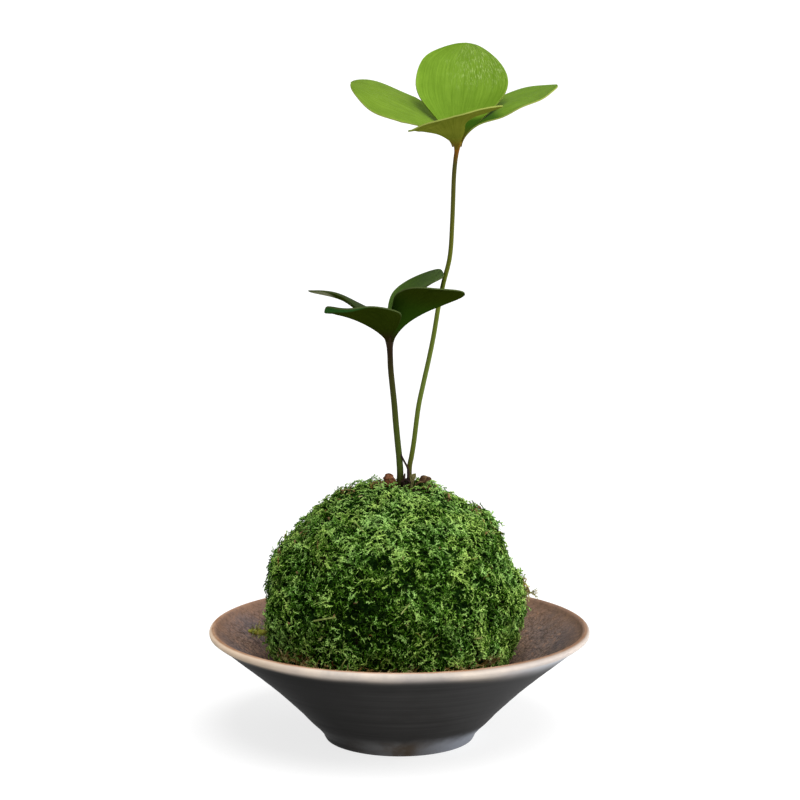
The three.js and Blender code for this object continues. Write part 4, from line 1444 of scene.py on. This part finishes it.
class PLANT_OT_stalks(bpy.types.Operator):
    """Draws out the two stalks with the joints that hold the leaves, and the dark rootlets"""

    bl_idname = "plant.stalks"
    bl_label = "Stalks"

    def execute(self, context):
        for kind, (route, radii, steps, sides, top, colours) in STALKS.items():
            stalk = model_stem(route, radii, steps, sides)
            skin = build_stalk_material(f"{kind.title()} stalk", STALK_FOOT, top, colours)
            finish_piece(stalk, f"stalk_{kind}", [skin], [f"{kind}_stalk"])
        root = build_bark_material("Rootlet", (0.028, 0.014, 0.011), (0.06, 0.034, 0.024))
        for index, (route, radii) in enumerate(ROOTLETS, 1):
            rootlet = model_stem(route, radii, steps=22, sides=8)
            finish_piece(rootlet, f"rootlet_{index}", [root], ["short_stalk"])
        return {"FINISHED"}


class PLANT_OT_base_growth(bpy.types.Operator):
    """Shapes the rhizome tip and the dry scales where the stalks leave the soil"""

    bl_idname = "plant.base_growth"
    bl_label = "Rhizome and scales"

    def execute(self, context):
        tip = model_stem(RHIZOME_TIP, RHIZOME_RADII, steps=18, sides=14)
        apply_modifier(tip, "SUBSURF", levels=1)
        points = points_of(tip.data)
        middle = np.interp(points[:, 2], [0.077, 0.086], [-0.0029, -0.0038])
        swell = 1 + lumps(points / MM, 0.9, 0.35, 3)
        points[:, 0] = middle + (points[:, 0] - middle) * swell
        points[:, 1] = RHIZOME_MIDDLE + (points[:, 1] - RHIZOME_MIDDLE) * swell
        move_points(tip.data, points)
        bark = build_bark_material("Rhizome bark", (0.13, 0.045, 0.017), (0.34, 0.16, 0.08))
        finish_piece(tip, "rhizome", [bark], ["rhizome_tip"])
        for name, (values, base, grid, dark, light) in SCALES.items():
            dry = build_bark_material(f"Dry {name}", dark, light)
            scale = model_blade(values, base, SCALE_THICKNESS, [dry] * 3, grid)
            finish_piece(scale, name, (), ["dry_scale"])
        return {"FINISHED"}


# Stage


class PLANT_OT_stage(bpy.types.Operator):
    """Sets the pale floor, the soft lights and the camera"""

    bl_idname = "plant.stage"
    bl_label = "Stage"

    def execute(self, context):
        settings = context.scene.stage_settings
        clear_selection()
        bpy.ops.mesh.primitive_plane_add(size=FLOOR_SIZE)
        floor = context.object
        floor.name = "floor"
        material, paint = start_material("Pale floor")
        paint.surface((FLOOR_GREY, FLOOR_GREY, FLOOR_GREY), 0.9, 0, glow=settings.glow)
        floor.data.materials.append(material)

        pitch = math.radians(CAMERA_PITCH)
        place = Vector(CAMERA_AIM) + CAMERA_DISTANCE * Vector((0, -math.cos(pitch), math.sin(pitch)))
        bpy.ops.object.camera_add(location=place * MM, rotation=(math.pi / 2 - pitch, 0, 0))
        camera = context.object
        camera.data.lens = settings.lens
        context.scene.camera = camera

        for name, (softness, spot) in LAMPS.items():
            bpy.ops.object.light_add(type="SUN", location=spot)
            lamp = context.object
            lamp.name = name
            lamp.data.energy = getattr(settings, f"{name}_power")
            lamp.data.angle = math.radians(softness)
            lamp.rotation_euler = (-Vector(spot)).to_track_quat("-Z", "Y").to_euler()

        world = bpy.data.worlds.new("Studio")
        world.use_nodes = True
        paint = Paint(world.node_tree)
        right = paint.split(paint.node("ShaderNodeTexCoord").outputs["Generated"])[0]
        at_left, at_right = dimmed(SURROUND_SHARES, settings.surround)
        background = world.node_tree.nodes["Background"]
        paint.fill(background.inputs["Color"], WHITE)
        paint.fill(background.inputs["Strength"], paint.remap(right, -0.8, 0.8, at_left, at_right))
        context.scene.world = world
        context.scene.view_settings.view_transform = "Standard"
        return {"FINISHED"}


OPERATORS = (
    PLANT_OT_stage, PLANT_OT_bowl, PLANT_OT_soil, PLANT_OT_moss_mat, PLANT_OT_moss, PLANT_OT_stalks,
    PLANT_OT_base_growth, PLANT_OT_leaves, PLANT_OT_litter,
)
SETTINGS = {
    "bowl_settings": BowlSettings, "moss_settings": MossSettings, "plant_settings": PlantSettings,
    "stage_settings": StageSettings,
}


class PLANT_PT_sidebar(bpy.types.Panel):
    """Lists the plant's sizes, colours and pieces"""

    bl_idname = "PLANT_PT_sidebar"
    bl_label = "Moss ball plant"
    bl_space_type = "VIEW_3D"
    bl_region_type = "UI"
    bl_category = "Moss Ball"

    def draw(self, context):
        for group in SETTINGS:
            box = self.layout.box()
            settings = getattr(context.scene, group)
            for key in settings.bl_rna.properties.keys():
                if key not in ("rna_type", "name"):
                    box.prop(settings, key)
        for operator in OPERATORS:
            self.layout.operator(operator.bl_idname)


def register():
    for group, kind in SETTINGS.items():
        bpy.utils.register_class(kind)
        setattr(bpy.types.Scene, group, PointerProperty(type=kind))
    for kind in (*OPERATORS, PLANT_PT_sidebar):
        bpy.utils.register_class(kind)


def unregister():
    for kind in reversed((*OPERATORS, PLANT_PT_sidebar)):
        bpy.utils.unregister_class(kind)
    for group, kind in SETTINGS.items():
        delattr(bpy.types.Scene, group)
        bpy.utils.unregister_class(kind)


def main():
    register()
    build_blotch_group()
    build_fan_vein_group()
    bpy.ops.plant.stage()
    bpy.ops.plant.bowl()
    bpy.ops.plant.soil()
    bpy.ops.plant.moss_mat()
    bpy.ops.plant.moss()
    bpy.ops.plant.stalks()
    bpy.ops.plant.base_growth()
    bpy.ops.plant.leaves()
    bpy.ops.plant.litter()
    clear_selection()


if __name__ == "__main__":
    main()
